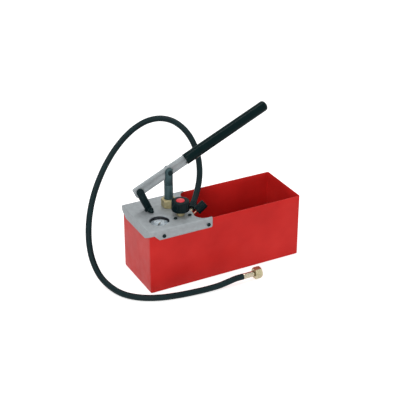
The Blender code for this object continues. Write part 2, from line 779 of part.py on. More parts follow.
def make_cover_plate():
    shape = bmesh.new()
    bmesh.ops.create_cube(shape, size=1.0)
    bmesh.ops.scale(shape, vec=(PLATE_LENGTH, 2 * PLATE_SIDE, FLANGE_DEPTH), verts=shape.verts)
    centre = (PLATE_LEFT + PLATE_LENGTH / 2, 0, PLATE_TOP - FLANGE_DEPTH / 2)
    bmesh.ops.translate(shape, vec=centre, verts=shape.verts)
    folds = []
    ears = []
    for edge in shape.edges:
        middle = (edge.verts[0].co + edge.verts[1].co) / 2
        at_left = middle.x < PLATE_LEFT + MERGE
        at_right = middle.x > PLATE_RIGHT - MERGE
        at_top = middle.z > PLATE_TOP - MERGE
        at_bottom = middle.z < PLATE_BOTTOM + MERGE
        upright = not at_top and not at_bottom
        if (at_top and not at_right) or (upright and at_left):
            folds.append(edge)
        elif at_right and at_bottom:
            ears.append(edge)
    bmesh.ops.bevel(shape, geom=folds, offset=PLATE_FOLD, segments=4, profile=0.5, affect="EDGES")
    ears = [e for e in ears if e.is_valid]
    bmesh.ops.bevel(shape, geom=ears, offset=EAR_CORNER, segments=3, profile=0.5, affect="EDGES")
    plate = dress(from_bmesh("cover_plate", shape), "zinc_sheet")

    inner_side = PLATE_SIDE - PLATE_THICKNESS
    low = (PLATE_LEFT + PLATE_THICKNESS, -inner_side, PLATE_BOTTOM - OVERRUN)
    high = (PLATE_RIGHT + OVERRUN, inner_side, PLATE_UNDER)
    cut(plate, box("plate_inside", low, high, CUTTERS))

    lift = Matrix.Translation((0, 0, PLATE_TOP - PLATE_THICKNESS / 2))
    depth = PLATE_THICKNESS + 2 * OVERRUN
    cut(plate, outline_solid("plate_notch", plate_notch_outline(), depth, lift, CUTTERS))

    flange_cut = PLATE_THICKNESS + 2 * OVERRUN
    for side, label in ((-1, "front"), (1, "back")):
        wedge = flange_corner_outline(PLATE_LEFT, FLANGE_LEDGE, FLANGE_CHAMFER_RUN)
        at_y = side * (PLATE_SIDE - PLATE_THICKNESS / 2)
        place = along_y(0, 0, at_y)
        cut(plate, outline_solid("flange_corner_" + label, wedge, flange_cut, place, CUTTERS))
        wedge = flange_corner_outline(-PLATE_SIDE, 0, END_CHAMFER_RUN)
        turn = Matrix.Rotation(pi / 2, 4, "Z") @ Matrix.Rotation(pi / 2, 4, "X")
        mirror = Matrix.Scale(-side, 4, (0, 1, 0))
        place = Matrix.Translation((PLATE_LEFT + PLATE_THICKNESS / 2, 0, 0)) @ mirror @ turn
        cut(plate, outline_solid("end_corner_" + label, wedge, flange_cut, place, CUTTERS))

    below = PLATE_UNDER - OVERRUN
    above = PLATE_TOP + OVERRUN
    holes = [
        (GAUGE_X, GAUGE_Y, GAUGE_HOLE_RADIUS, LARGE_SIDES),
        (PUMP_X, PUMP_Y, NECK_RADIUS + RUNNING_GAP, LARGE_SIDES),
        (SHUTOFF_X, SHUTOFF_Y, BONNET_SPIGOT_RADIUS + RUNNING_GAP, SMALL_SIDES),
        (LINK_FOOT_AT.x, PUMP_Y, LUG_SHANK_RADIUS + RUNNING_GAP, TINY_SIDES),
    ]
    for x in block_screw_xs():
        holes.append((x, BLOCK_SCREW_OFFSET, BLOCK_SCREW_RADIUS + RUNNING_GAP, TINY_SIDES))
    for x, y, radius, sides in holes:
        drill(plate, radius, (x, y, below), (x, y, above), sides)
    drill_flange_holes(plate)


def screw_profile(head_radius, head_height, radius, length):
    """A domed screw: its head's underside is at 0 and its shank runs down."""
    return [
        (0, head_height),
        (head_radius / 2, head_height),
        (head_radius, head_height / 2),
        (head_radius, 0),
        (radius, 0),
        (radius, -length),
        (0, -length),
    ]


def make_nuts(places, across_flats, height, bolt_radius, finish):
    """A hexagon nut for each named place, whose lower face is at the place's origin."""
    nut = rod("nut_blank", across_corners(across_flats), (0, 0, 0), (0, 0, height), 6)
    hole = bolt_radius + RUNNING_GAP
    drill(nut, hole, (0, 0, -OVERRUN), (0, 0, height + OVERRUN), TINY_SIDES)
    copies(nut, places, finish)


def make_flange_fasteners():
    wall_inside = TANK_WIDTH / 2 - TANK_WALL
    reach = PLATE_SIDE + SEAT_GAP - wall_inside
    length = reach + SEAT_GAP + FLANGE_NUT_HEIGHT + FLANGE_SCREW_TAIL
    profile = screw_profile(FLANGE_HEAD_RADIUS, FLANGE_HEAD_HEIGHT, FLANGE_SCREW_RADIUS, length)
    screw = turned("flange_screw", profile, sides=TINY_SIDES)
    places = {}
    nut_places = {}
    for corner, (x, side, height) in flange_screw_places().items():
        outward = (0, side, 0)
        seat = (x, side * (PLATE_SIDE + SEAT_GAP), height)
        places["flange_screw_" + corner] = aim(seat, outward)
        nut_y = side * (wall_inside - SEAT_GAP - FLANGE_NUT_HEIGHT)
        nut_places["flange_nut_" + corner] = aim((x, nut_y, height), outward)
    copies(screw, places, "dark_steel")
    sizes = (FLANGE_NUT_ACROSS, FLANGE_NUT_HEIGHT, FLANGE_SCREW_RADIUS)
    make_nuts(nut_places, *sizes, "zinc_bar")


def make_pump_barrel():
    bore = PLUNGER_RADIUS + BARREL_CLEARANCE
    packing_bore = PACKING_RADIUS + RUNNING_GAP
    packing_floor = NECK_TOP + PACKING_PROUD - PACKING_HEIGHT - SEAT_GAP
    profile = [
        (NECK_RADIUS, NECK_TOP),
        (NECK_RADIUS, UNDER_PLATE),
        (COLLAR_RADIUS, UNDER_PLATE),
        (COLLAR_RADIUS, UNDER_PLATE - COLLAR_HEIGHT),
        (BARREL_RADIUS, UNDER_PLATE - COLLAR_HEIGHT),
        (BARREL_RADIUS, BARREL_SHOULDER),
        (SPIGOT_RADIUS, BARREL_SHOULDER),
        (SPIGOT_RADIUS, BARREL_TIP),
        (PORT_RADIUS, BARREL_TIP),
        (PORT_RADIUS, BARREL_BORE_END),
        (bore, BARREL_BORE_END),
        (bore, packing_floor),
        (packing_bore, packing_floor),
        (packing_bore, NECK_TOP),
    ]
    place = Matrix.Translation((PUMP_X, PUMP_Y, 0))
    dress(turned("pump_cylinder", profile, place), "brass")

    inner = PLUNGER_RADIUS + RUNNING_GAP
    low = packing_floor + SEAT_GAP
    high = low + PACKING_HEIGHT
    ring = [(PACKING_RADIUS, high), (PACKING_RADIUS, low), (inner, low), (inner, high)]
    dress(turned("gland_packing", ring, place), "seal_fibre")

    nut_top = ON_PLATE + GLAND_HEIGHT
    at = Vector((PUMP_X, PUMP_Y, 0))
    corner = across_corners(GLAND_ACROSS)
    nut = rod("gland_nut", corner, at + Vector((0, 0, ON_PLATE)), at + Vector((0, 0, nut_top)), 6)
    chamfer = [
        (corner + OVERRUN, nut_top + OVERRUN),
        (corner + OVERRUN, nut_top - GLAND_CHAMFER - OVERRUN),
        (corner, nut_top - GLAND_CHAMFER),
        (corner - 2 * GLAND_CHAMFER, nut_top),
        (corner - 2 * GLAND_CHAMFER, nut_top + OVERRUN),
    ]
    cut(nut, turned("gland_chamfer", chamfer, place, LARGE_SIDES, CUTTERS))
    hollow = [
        (0, nut_top + OVERRUN),
        (inner, nut_top + OVERRUN),
        (inner, high + SEAT_GAP),
        (NECK_RADIUS + RUNNING_GAP, high + SEAT_GAP),
        (NECK_RADIUS + RUNNING_GAP, ON_PLATE - OVERRUN),
        (0, ON_PLATE - OVERRUN),
    ]
    cut(nut, turned("gland_hollow", hollow, place, LARGE_SIDES, CUTTERS))
    dress(nut, "brass")


def make_plunger():
    spigot_top = FORK_SEAM + FORK_SPIGOT_LENGTH
    place = Matrix.Translation((PUMP_X, PUMP_Y, 0))
    chamfer = PLUNGER_RADIUS / 8
    profile = [
        (0, spigot_top),
        (FORK_SPIGOT_RADIUS, spigot_top),
        (FORK_SPIGOT_RADIUS, FORK_SEAM),
        (PLUNGER_RADIUS, FORK_SEAM),
        (PLUNGER_RADIUS, PLUNGER_BOTTOM + chamfer),
        (PLUNGER_RADIUS - chamfer, PLUNGER_BOTTOM),
        (0, PLUNGER_BOTTOM),
    ]
    plunger = dress(turned("plunger", profile, place), "ground_steel")

    head = PIN_Z + PLUNGER_RADIUS + OVERRUN
    socket_radius = FORK_SPIGOT_RADIUS + RUNNING_GAP
    profile = [
        (0, head),
        (PLUNGER_RADIUS, head),
        (PLUNGER_RADIUS, FORK_SEAM + SEAT_GAP),
        (socket_radius, FORK_SEAM + SEAT_GAP),
        (socket_radius, spigot_top + SEAT_GAP),
        (0, spigot_top + SEAT_GAP),
    ]
    fork = dress(turned("plunger_fork", profile, place), "ground_steel")
    dome = [(PUMP_X - 2 * FORK_HEAD_RADIUS, PIN_Z), (PUMP_X - FORK_HEAD_RADIUS, PIN_Z)]
    dome += arc(PUMP_X, PIN_Z, FORK_HEAD_RADIUS, pi, 0, 12)[1:]
    dome += [(PUMP_X + 2 * FORK_HEAD_RADIUS, PIN_Z)]
    dome += [(PUMP_X + 2 * FORK_HEAD_RADIUS, head + OVERRUN)]
    dome += [(PUMP_X - 2 * FORK_HEAD_RADIUS, head + OVERRUN)]
    depth = 2 * (PLUNGER_RADIUS + OVERRUN)
    cut(fork, outline_solid("fork_dome", dome, depth, along_y(0, 0, PUMP_Y), CUTTERS))
    slot_half = LEVER_HALF + LEVER_SIDE_GAP
    reach = PLUNGER_RADIUS + OVERRUN
    low = (PUMP_X - reach, PUMP_Y - slot_half, PIN_Z - FORK_SLOT_DEPTH)
    high = (PUMP_X + reach, PUMP_Y + slot_half, head + OVERRUN)
    cut(fork, box("fork_slot", low, high, CUTTERS))
    pin_hole = ROD_PIN_RADIUS + RUNNING_GAP
    drill(fork, pin_hole, (PUMP_X, PUMP_Y - reach, PIN_Z), (PUMP_X, PUMP_Y + reach, PIN_Z))

    roll_z = FORK_SEAM + ROLL_PIN_RISE
    for target in (plunger, fork):
        hole = ROLL_PIN_RADIUS + RUNNING_GAP
        ends = ((PUMP_X - reach, PUMP_Y, roll_z), (PUMP_X + reach, PUMP_Y, roll_z))
        drill(target, hole, *ends, TINY_SIDES)
    flush = PLUNGER_RADIUS - ROLL_PIN_RADIUS / 4
    ends = ((PUMP_X - flush, PUMP_Y, roll_z), (PUMP_X + flush, PUMP_Y, roll_z))
    dress(rod("fork_roll_pin", ROLL_PIN_RADIUS, *ends, TINY_SIDES), "dark_steel")


def headed_pin(name, radius, head_radius, head_height, length, place, finish):
    """A pin with a low head; the head's underside is at 0 and the shank runs down."""
    profile = [
        (0, head_height),
        (head_radius * PIN_CROWN_SHARE, head_height),
        (head_radius, head_height * PIN_RIM_SHARE),
        (head_radius, 0),
        (radius, 0),
        (radius, -length),
        (0, -length),
    ]
    return dress(turned(name, profile, place, SMALL_SIDES), finish)


def clip_ring(name, pin_radius, place):
    inner = pin_radius + SEAT_GAP
    outer = inner + CLIP_WIDTH
    ring = [(outer, CLIP_THICKNESS), (outer, 0), (inner, 0), (inner, CLIP_THICKNESS)]
    return dress(turned(name, ring, place, SMALL_SIDES), "dark_steel")


def make_pins():
    towards_front = (0, -1, 0)
    front = PUMP_Y - PLUNGER_RADIUS - SEAT_GAP
    back = PUMP_Y + PLUNGER_RADIUS + SEAT_GAP
    length = back - front + CLIP_THICKNESS + ROD_PIN_TAIL
    place = aim((PUMP_X, front, PIN_Z), towards_front)
    sizes = (ROD_PIN_RADIUS, ROD_PIN_HEAD_RADIUS, ROD_PIN_HEAD_HEIGHT, length)
    headed_pin("rod_pin", *sizes, place, "dark_steel")
    place = aim((PUMP_X, back + CLIP_THICKNESS, PIN_Z), towards_front)
    clip_ring("rod_pin_clip", ROD_PIN_RADIUS, place)

    top = LINK_TOP_AT
    front = PUMP_Y - STRAP_OUTER - SEAT_GAP
    back = PUMP_Y + STRAP_OUTER + SEAT_GAP
    length = back - front + CLIP_THICKNESS + LINK_PIN_TAIL
    place = aim((top.x, front, top.z), towards_front)
    sizes = (LINK_PIN_RADIUS, LINK_PIN_HEAD_RADIUS, LINK_PIN_HEAD_HEIGHT, length)
    headed_pin("link_upper_pin", *sizes, place, "dark_steel")
    place = aim((top.x, back + CLIP_THICKNESS, top.z), towards_front)
    clip_ring("link_pin_clip", LINK_PIN_RADIUS, place)

    foot = LINK_FOOT_AT
    tip = front - FOOT_NUT_HEIGHT - FOOT_PIN_TAIL
    ends = ((foot.x, tip, foot.z), (foot.x, back + OVERRUN, foot.z))
    bolt = rod("link_lower_pin", LINK_PIN_RADIUS, *ends)
    corner = across_corners(FOOT_HEAD_ACROSS)
    head_end = (foot.x, back + FOOT_HEAD_HEIGHT, foot.z)
    head = rod("link_lower_head", corner, (foot.x, back, foot.z), head_end, 6)
    join(bolt, head)
    dress(bolt, "ground_steel")
    place = aim((foot.x, front, foot.z), towards_front)
    sizes = (FOOT_NUT_ACROSS, FOOT_NUT_HEIGHT, LINK_PIN_RADIUS)
    make_nuts({"link_pin_nut": place}, *sizes, "dark_steel")


def tapered_outline(span, foot_radius, top_radius, steps):
    """Two circles a span apart, foot at the origin and top at +Y, with straight flanks."""
    tilt = asin((foot_radius - top_radius) / span)
    upper = arc(0, span, top_radius, tilt, pi - tilt, steps)
    lower = arc(0, 0, foot_radius, pi - tilt, 2 * pi + tilt, steps)
    return upper + lower


def make_link():
    outline = tapered_outline(LINK_SPAN, LINK_FOOT_RADIUS, LINK_TOP_RADIUS, 10)
    strap = outline_solid("link_strap", outline, LINK_STRAP_THICKNESS)
    hole = LINK_PIN_RADIUS + RUNNING_GAP
    for height in (0, LINK_SPAN):
        drill(strap, hole, (0, height, -LINK_STRAP_THICKNESS), (0, height, LINK_STRAP_THICKNESS))
    lean = Matrix.Rotation(LINK_LEAN, 4, "Z")
    places = {}
    for side, label in ((-1, "front"), (1, "back")):
        at_y = PUMP_Y + side * (STRAP_INNER + LINK_STRAP_THICKNESS / 2)
        stand = along_y(LINK_FOOT_AT.x, LINK_FOOT_AT.z, at_y)
        places["link_strap_" + label] = stand @ lean
    copies(strap, places, "dark_steel")

    foot = LINK_FOOT_AT
    half = LUG_WIDTH / 2
    base = ON_PLATE
    outline = [(-half, base - foot.z), (half, base - foot.z), (half, 0)]
    outline += arc(0, 0, half, 0, pi, 12)[1:]
    place = along_y(foot.x, foot.z, PUMP_Y)
    lug = outline_solid("link_bracket", outline, LEVER_THICKNESS, place)
    shank_end = PLATE_UNDER - LUG_SHANK_LENGTH
    shank_start = base + SEAT_GAP
    start, end = (foot.x, PUMP_Y, shank_end), (foot.x, PUMP_Y, shank_start)
    join(lug, rod("lug_shank", LUG_SHANK_RADIUS, start, end))
    reach = LEVER_THICKNESS / 2 + OVERRUN
    hole = LINK_PIN_RADIUS + RUNNING_GAP
    drill(lug, hole, (foot.x, PUMP_Y - reach, foot.z), (foot.x, PUMP_Y + reach, foot.z))
    dress(lug, "dark_steel")
    nut_z = PLATE_UNDER - SEAT_GAP - LUG_NUT_HEIGHT
    place = Matrix.Translation((foot.x, PUMP_Y, nut_z))
    sizes = (LUG_NUT_ACROSS, LUG_NUT_HEIGHT, LUG_SHANK_RADIUS)
    make_nuts({"bracket_nut": place}, *sizes, "zinc_bar")


def make_lever():
    low = LEVER_RISE - LEVER_DEPTH / 2
    high = LEVER_RISE + LEVER_DEPTH / 2
    shoulder = GRIP_START - SEAT_GAP
    tang_low = LEVER_RISE - TANG_DEPTH / 2
    tang_high = LEVER_RISE + TANG_DEPTH / 2
    tang_end = GRIP_START + TANG_LENGTH
    outline = [(shoulder, low), (shoulder, tang_low), (tang_end, tang_low)]
    outline += [(tang_end, tang_high), (shoulder, tang_high), (shoulder, high)]
    corner = LEVER_END_CORNER
    outline += arc(corner - LEVER_TIP, high - corner, corner, pi / 2, pi, 4)
    outline += arc(corner - LEVER_TIP, low + corner, corner, pi, 3 * pi / 2, 4)
    bar = outline_solid("lever_blank", outline, LEVER_THICKNESS)
    depth = LEVER_THICKNESS
    hole = LINK_PIN_RADIUS + RUNNING_GAP
    drill(bar, hole, (0, 0, -depth), (0, 0, depth))
    radius = ROD_PIN_RADIUS + RUNNING_GAP + SLOT_RISE / 2
    middle = LEVER_PIN_SPACING + SLOT_SHIFT
    slot = arc(middle + SLOT_TRAVEL / 2, SLOT_SETTLE, radius, -pi / 2, pi / 2, 8)
    slot += arc(middle - SLOT_TRAVEL / 2, SLOT_SETTLE, radius, pi / 2, 3 * pi / 2, 8)
    cut(bar, outline_solid("lever_slot", slot, 2 * depth, None, CUTTERS))
    place = along_y(LINK_TOP_AT.x, LINK_TOP_AT.z, PUMP_Y) @ Matrix.Rotation(LEVER_ANGLE, 4, "Z")
    copies(bar, {"lever_bar": place}, "zinc_bar")

    end = GRIP_LENGTH
    profile = [(0, end)]
    for across_share, along_share in GRIP_NOSE_SHARES:
        profile.append((GRIP_END_RADIUS * across_share, end - GRIP_NOSE_LENGTH * along_share))
    profile += [(GRIP_RADIUS, GRIP_COLLAR), (GRIP_RADIUS - GRIP_COLLAR, 0), (0, 0)]
    start = place @ Vector((GRIP_START, LEVER_RISE, 0))
    grip = turned("lever_grip", profile, aim(start, LEVER_ALONG), 24)
    socket_end = tang_end + SEAT_GAP
    socket_low, socket_high = tang_low - SEAT_GAP, tang_high + SEAT_GAP
    outline = [(GRIP_START - OVERRUN, socket_low), (socket_end, socket_low)]
    outline += [(socket_end, socket_high), (GRIP_START - OVERRUN, socket_high)]
    thickness = LEVER_THICKNESS + 2 * SEAT_GAP
    cut(grip, outline_solid("grip_socket", outline, thickness, place, CUTTERS))
    dress(grip, "black_plastic")


def block_screw_xs():
    return (SHUTOFF_X - BLOCK_SCREW_SPACING / 2, SHUTOFF_X + BLOCK_SCREW_SPACING / 2)


def make_valve_block():
    low = (BLOCK_LEFT, BLOCK_OFFSET - BLOCK_WIDTH / 2, BLOCK_BOTTOM)
    high = (BLOCK_RIGHT, BLOCK_OFFSET + BLOCK_WIDTH / 2, BLOCK_TOP)
    block = box("valve_block", low, high, bevel=BLOCK_BEVEL)
    over = BLOCK_TOP + OVERRUN
    at = (SHUTOFF_X, SHUTOFF_Y)
    bore = BONNET_SPIGOT_RADIUS + RUNNING_GAP
    drill(block, bore, (*at, BLOCK_TOP - BONNET_SPIGOT_LENGTH - SEAT_GAP), (*at, over))
    chamber = SHUTOFF_SPINDLE_RADIUS + SHUTOFF_CHAMBER_GAP
    drill(block, chamber, (*at, BLOCK_TOP - SHUTOFF_CHAMBER_DEPTH), (*at, over))
    screw_depth = BLOCK_TOP - BLOCK_SCREW_LENGTH - SEAT_GAP
    for x in block_screw_xs():
        hole = BLOCK_SCREW_RADIUS + RUNNING_GAP
        ends = ((x, BLOCK_SCREW_OFFSET, screw_depth), (x, BLOCK_SCREW_OFFSET, over))
        drill(block, hole, *ends, TINY_SIDES)
    stem_end = (BLOCK_LEFT + GAUGE_STEM_GRIP + SEAT_GAP, GAUGE_Y, GAUGE_STEM_Z)
    stem_start = (BLOCK_LEFT - OVERRUN, GAUGE_Y, GAUGE_STEM_Z)
    drill(block, GAUGE_STEM_RADIUS + RUNNING_GAP, stem_start, stem_end)
    pipe = (SHUTOFF_X + PIPE_TOP_SHIFT, PIPE_TOP_OFFSET)
    top = BLOCK_BOTTOM + PIPE_BLOCK_SOCKET + SEAT_GAP
    drill(block, PIPE_RADIUS + RUNNING_GAP, (*pipe, BLOCK_BOTTOM - OVERRUN), (*pipe, top))
    elbow = ELBOW_RADIUS + RUNNING_GAP
    inside = OUTLET_AT - Vector((ELBOW_GRIP + SEAT_GAP, 0, 0))
    drill(block, elbow, inside, OUTLET_AT + Vector((OVERRUN, 0, 0)))
    outside = RELEASE_AT + RELEASE_ALONG * 2 * RELEASE_SLEEVE_RADIUS
    sleeve = RELEASE_AT - RELEASE_ALONG * (RELEASE_SLEEVE_DEPTH + SEAT_GAP)
    drill(block, RELEASE_SLEEVE_RADIUS + RUNNING_GAP, sleeve, outside)
    seat = RELEASE_AT - RELEASE_ALONG * (RELEASE_STEM_DEPTH + SEAT_GAP)
    drill(block, RELEASE_STEM_RADIUS + RUNNING_GAP, seat, outside, TINY_SIDES)
    dress(block, "brass")

    profile = screw_profile(
        BLOCK_SCREW_HEAD_RADIUS,
        BLOCK_SCREW_HEAD_HEIGHT,
        BLOCK_SCREW_RADIUS,
        BLOCK_SCREW_LENGTH + ON_PLATE - BLOCK_TOP,
    )
    screw = turned("block_screw", profile, sides=TINY_SIDES)
    places = {}
    for x, label in zip(block_screw_xs(), ("left", "right")):
        places["block_screw_" + label] = Matrix.Translation((x, BLOCK_SCREW_OFFSET, ON_PLATE))
    copies(screw, places, "dark_steel")


def make_shutoff_valve():
    at = Vector((SHUTOFF_X, SHUTOFF_Y, 0))

    def level(z):
        return at + Vector((0, 0, z))

    hex_top = ON_PLATE + BONNET_HEX_HEIGHT
    neck_top = hex_top + BONNET_NECK_HEIGHT
    bottom = BLOCK_TOP - BONNET_SPIGOT_LENGTH
    bonnet = rod("shutoff_bonnet", across_corners(BONNET_ACROSS), level(ON_PLATE), level(hex_top), 6)
    middle = (ON_PLATE + hex_top) / 2
    join(bonnet, rod("bonnet_spigot", BONNET_SPIGOT_RADIUS, level(bottom), level(middle)))
    join(bonnet, rod("bonnet_neck", BONNET_NECK_RADIUS, level(middle), level(neck_top)))
    bore = SHUTOFF_SPINDLE_RADIUS + RUNNING_GAP
    drill(bonnet, bore, level(bottom - OVERRUN), level(neck_top + OVERRUN))
    dress(bonnet, "brass")

    knob_bottom = PLATE_TOP + KNOB_LIFT
    knob_top = knob_bottom + KNOB_HEIGHT
    socket_top = knob_top - KNOB_ROOF
    tip = BLOCK_TOP - SHUTOFF_CHAMBER_DEPTH + SEAT_GAP
    profile = [
        (0, socket_top - SEAT_GAP),
        (SHUTOFF_SPINDLE_RADIUS, socket_top - SEAT_GAP),
        (SHUTOFF_SPINDLE_RADIUS, tip + SHUTOFF_TIP_LENGTH),
        (SHUTOFF_SPINDLE_RADIUS / 4, tip),
        (0, tip),
    ]
    place = Matrix.Translation(at)
    dress(turned("shutoff_spindle", profile, place, SMALL_SIDES), "ground_steel")

    outline = lobed_outline(KNOB_RADIUS, KNOB_RIBS, KNOB_RIB_DEPTH)
    lift = Matrix.Translation(level((knob_bottom + knob_top) / 2))
    knob = outline_solid("shutoff_knob", outline, KNOB_HEIGHT, lift, PARTS, KNOB_EDGE)
    drill(knob, bore, level(knob_bottom - OVERRUN), level(socket_top))
    recess = level(knob_top - CAP_RECESS)
    drill(knob, CAP_RADIUS + SEAT_GAP, recess, level(knob_top + OVERRUN), LARGE_SIDES)
    dress(knob, "black_plastic")

    low = knob_top - CAP_RECESS + SEAT_GAP
    high = knob_top + CAP_DOME
    profile = [(0, high), (CAP_RADIUS * CAP_CROWN_SHARE, high - CAP_DOME * CAP_SHOULDER_SHARE)]
    profile += [(CAP_RADIUS, knob_top), (CAP_RADIUS, low), (0, low)]
    dress(turned("shutoff_cap", profile, place, 24), "red_plastic")


def make_release_valve():
    place = aim(RELEASE_AT, RELEASE_ALONG)
    bore = RELEASE_STEM_RADIUS + RUNNING_GAP
    sleeve = [
        (RELEASE_SLEEVE_RADIUS, RELEASE_SLEEVE_PROUD),
        (RELEASE_SLEEVE_RADIUS, -RELEASE_SLEEVE_DEPTH),
        (bore, -RELEASE_SLEEVE_DEPTH),
        (bore, RELEASE_SLEEVE_PROUD),
    ]
    dress(turned("release_bonnet", sleeve, place, SMALL_SIDES), "brass")
    top = RELEASE_KNOB_START + RELEASE_STEM_SOCKET - SEAT_GAP
    stem = [
        (0, top),
        (RELEASE_STEM_RADIUS, top),
        (RELEASE_STEM_RADIUS, RELEASE_STEM_RADIUS - RELEASE_STEM_DEPTH),
        (0, -RELEASE_STEM_DEPTH),
    ]
    dress(turned("release_spindle", stem, place, TINY_SIDES), "brass")
    outline = lobed_outline(RELEASE_KNOB_RADIUS, RELEASE_KNOB_RIBS, RELEASE_RIB_DEPTH)
    middle = RELEASE_KNOB_START + RELEASE_KNOB_LENGTH / 2
    lift = place @ Matrix.Translation((0, 0, middle))
    knob = outline_solid("release_knob", outline, RELEASE_KNOB_LENGTH, lift, PARTS, RELEASE_EDGE)
    start = RELEASE_AT + RELEASE_ALONG * (RELEASE_KNOB_START - OVERRUN)
    end = RELEASE_AT + RELEASE_ALONG * (RELEASE_KNOB_START + RELEASE_STEM_SOCKET)
    drill(knob, bore, start, end, TINY_SIDES)
    dress(knob, "black_plastic")


def make_gauge():
    place = Matrix.Translation((GAUGE_X, GAUGE_Y, 0))
    upper_bore = GAUGE_WINDOW_RADIUS + SEAT_GAP
    middle_bore = GAUGE_DIAL_RADIUS + SEAT_GAP
    lower_bore = middle_bore - GAUGE_LEDGE
    floor = CASE_BOTTOM + GAUGE_CASE_FLOOR
    profile = [
        (GAUGE_RADIUS, CASE_TOP),
        (GAUGE_RADIUS, CASE_BOTTOM),
        (0, CASE_BOTTOM),
        (0, floor),
        (lower_bore, floor),
        (lower_bore, DIAL_BOTTOM - SEAT_GAP),
        (middle_bore, DIAL_BOTTOM - SEAT_GAP),
        (middle_bore, WINDOW_BOTTOM - SEAT_GAP),
        (upper_bore, WINDOW_BOTTOM - SEAT_GAP),
        (upper_bore, CASE_TOP),
    ]
    case = turned("gauge_case", profile, place)
    stem_y = (GAUGE_Y, GAUGE_STEM_Z)
    hole_start = (GAUGE_X + lower_bore - OVERRUN, *stem_y)
    hole_end = (GAUGE_X + GAUGE_RADIUS + OVERRUN, *stem_y)
    drill(case, GAUGE_STEM_RADIUS + RUNNING_GAP, hole_start, hole_end)
    dress(case, "black_plastic")

    ring = [(GAUGE_RADIUS, BEZEL_TOP), (GAUGE_RADIUS, CASE_TOP + SEAT_GAP)]
    ring += [(GAUGE_BEZEL_RADIUS, CASE_TOP + SEAT_GAP), (GAUGE_BEZEL_RADIUS, BEZEL_TOP)]
    dress(turned("gauge_bezel", ring, place), "black_plastic")
    disc = [(0, WINDOW_TOP), (GAUGE_WINDOW_RADIUS, WINDOW_TOP)]
    disc += [(GAUGE_WINDOW_RADIUS, WINDOW_BOTTOM), (0, WINDOW_BOTTOM)]
    dress(turned("gauge_window", disc, place), "clear_glass")
    arbor_hole = POINTER_ARBOR_RADIUS + RUNNING_GAP
    ring = [(GAUGE_DIAL_RADIUS, DIAL_TOP), (GAUGE_DIAL_RADIUS, DIAL_BOTTOM)]
    ring += [(arbor_hole, DIAL_BOTTOM), (arbor_hole, DIAL_TOP)]
    dress(turned("gauge_dial", ring, place), "white_enamel")

    low = (GAUGE_X - MOVEMENT_LENGTH / 2, GAUGE_Y - MOVEMENT_WIDTH / 2, floor + SEAT_GAP)
    high_z = floor + SEAT_GAP + MOVEMENT_HEIGHT
    high = (GAUGE_X + MOVEMENT_LENGTH / 2, GAUGE_Y + MOVEMENT_WIDTH / 2, high_z)
    movement = box("gauge_movement", low, high)
    arbor_end = high_z - MOVEMENT_HEIGHT / 2
    start, end = (GAUGE_X, GAUGE_Y, arbor_end), (GAUGE_X, GAUGE_Y, high_z + OVERRUN)
    drill(movement, arbor_hole, start, end, TINY_SIDES)
    dress(movement, "brass")

    stem_start = (GAUGE_X + MOVEMENT_LENGTH / 2 + SEAT_GAP, GAUGE_Y, GAUGE_STEM_Z)
    stem_end = (BLOCK_LEFT + GAUGE_STEM_GRIP, GAUGE_Y, GAUGE_STEM_Z)
    stem = rod("gauge_stem", GAUGE_STEM_RADIUS, stem_start, stem_end)
    height = GAUGE_STEM_Z + GAUGE_STEM_RADIUS + BOURDON_TUBE_RADIUS - BOURDON_SINK
    coil = arc(GAUGE_X, GAUGE_Y, BOURDON_RADIUS, BOURDON_START, BOURDON_START + BOURDON_SWEEP, 14)
    path = [(x, y, height) for x, y in coil]
    bourdon = baked(tube("bourdon_run", path, BOURDON_TUBE_RADIUS, 1))
    join(stem, from_bmesh("bourdon_tube", bourdon))
    dress(stem, "brass")

    half = POINTER_WIDTH / 2
    outline = [(POINTER_LENGTH, 0), (0, half), (-POINTER_TAIL, half)]
    outline += [(-POINTER_TAIL, -half), (0, -half)]
    lift = DIAL_TOP + POINTER_HEIGHT + POINTER_THICKNESS / 2
    turn = Matrix.Rotation(POINTER_ZERO, 4, "Z")
    pointer_place = Matrix.Translation((GAUGE_X, GAUGE_Y, lift)) @ turn
    pointer = outline_solid("gauge_pointer", outline, POINTER_THICKNESS, pointer_place)
    hub_low = (GAUGE_X, GAUGE_Y, DIAL_TOP + SEAT_GAP)
    hub_high = (GAUGE_X, GAUGE_Y, lift + POINTER_THICKNESS)
    join(pointer, rod("pointer_hub", POINTER_HUB_RADIUS, hub_low, hub_high, TINY_SIDES))
    arbor_low = (GAUGE_X, GAUGE_Y, arbor_end + SEAT_GAP)
    arbor_high = (GAUGE_X, GAUGE_Y, lift)
    join(pointer, rod("pointer_arbor", POINTER_ARBOR_RADIUS, arbor_low, arbor_high, TINY_SIDES))
    dress(pointer, "dark_steel")


def make_ball(name, x, seat_z):
    shape = bmesh.new()
    bmesh.ops.create_uvsphere(shape, u_segments=16, v_segments=10, radius=BALL_RADIUS)
    ball = from_bmesh(name, shape)
    ball.location = (x, PUMP_Y, seat_z + BALL_LIFT)
    return dress(ball, "spring_steel")


def least_gap(path, radius, apart):
    """The least space between a round wire and itself, over points at least so many steps apart."""
    least = None
    for i, first in enumerate(path):
        for second in path[i + apart :]:
            space = (Vector(second) - Vector(first)).length - 2 * radius
            least = space if least is None else min(least, space)
    return least


def make_spring(name, x, low, high):
    """A helix of round wire that stands between two heights."""
    points_a_turn = 8
    count = SPRING_TURNS * points_a_turn
    start = low + SPRING_WIRE_RADIUS
    rise = high - low - 2 * SPRING_WIRE_RADIUS
    path = []
    for n in range(count + 1):
        angle = 2 * pi * n / points_a_turn
        across = (x + SPRING_RADIUS * cos(angle), PUMP_Y + SPRING_RADIUS * sin(angle))
        path.append((*across, start + rise * n / count))
    report(name + " least gap between turns", least_gap(path, SPRING_WIRE_RADIUS, points_a_turn // 2))
    return dress(tube(name, path, SPRING_WIRE_RADIUS, 1), "spring_steel")


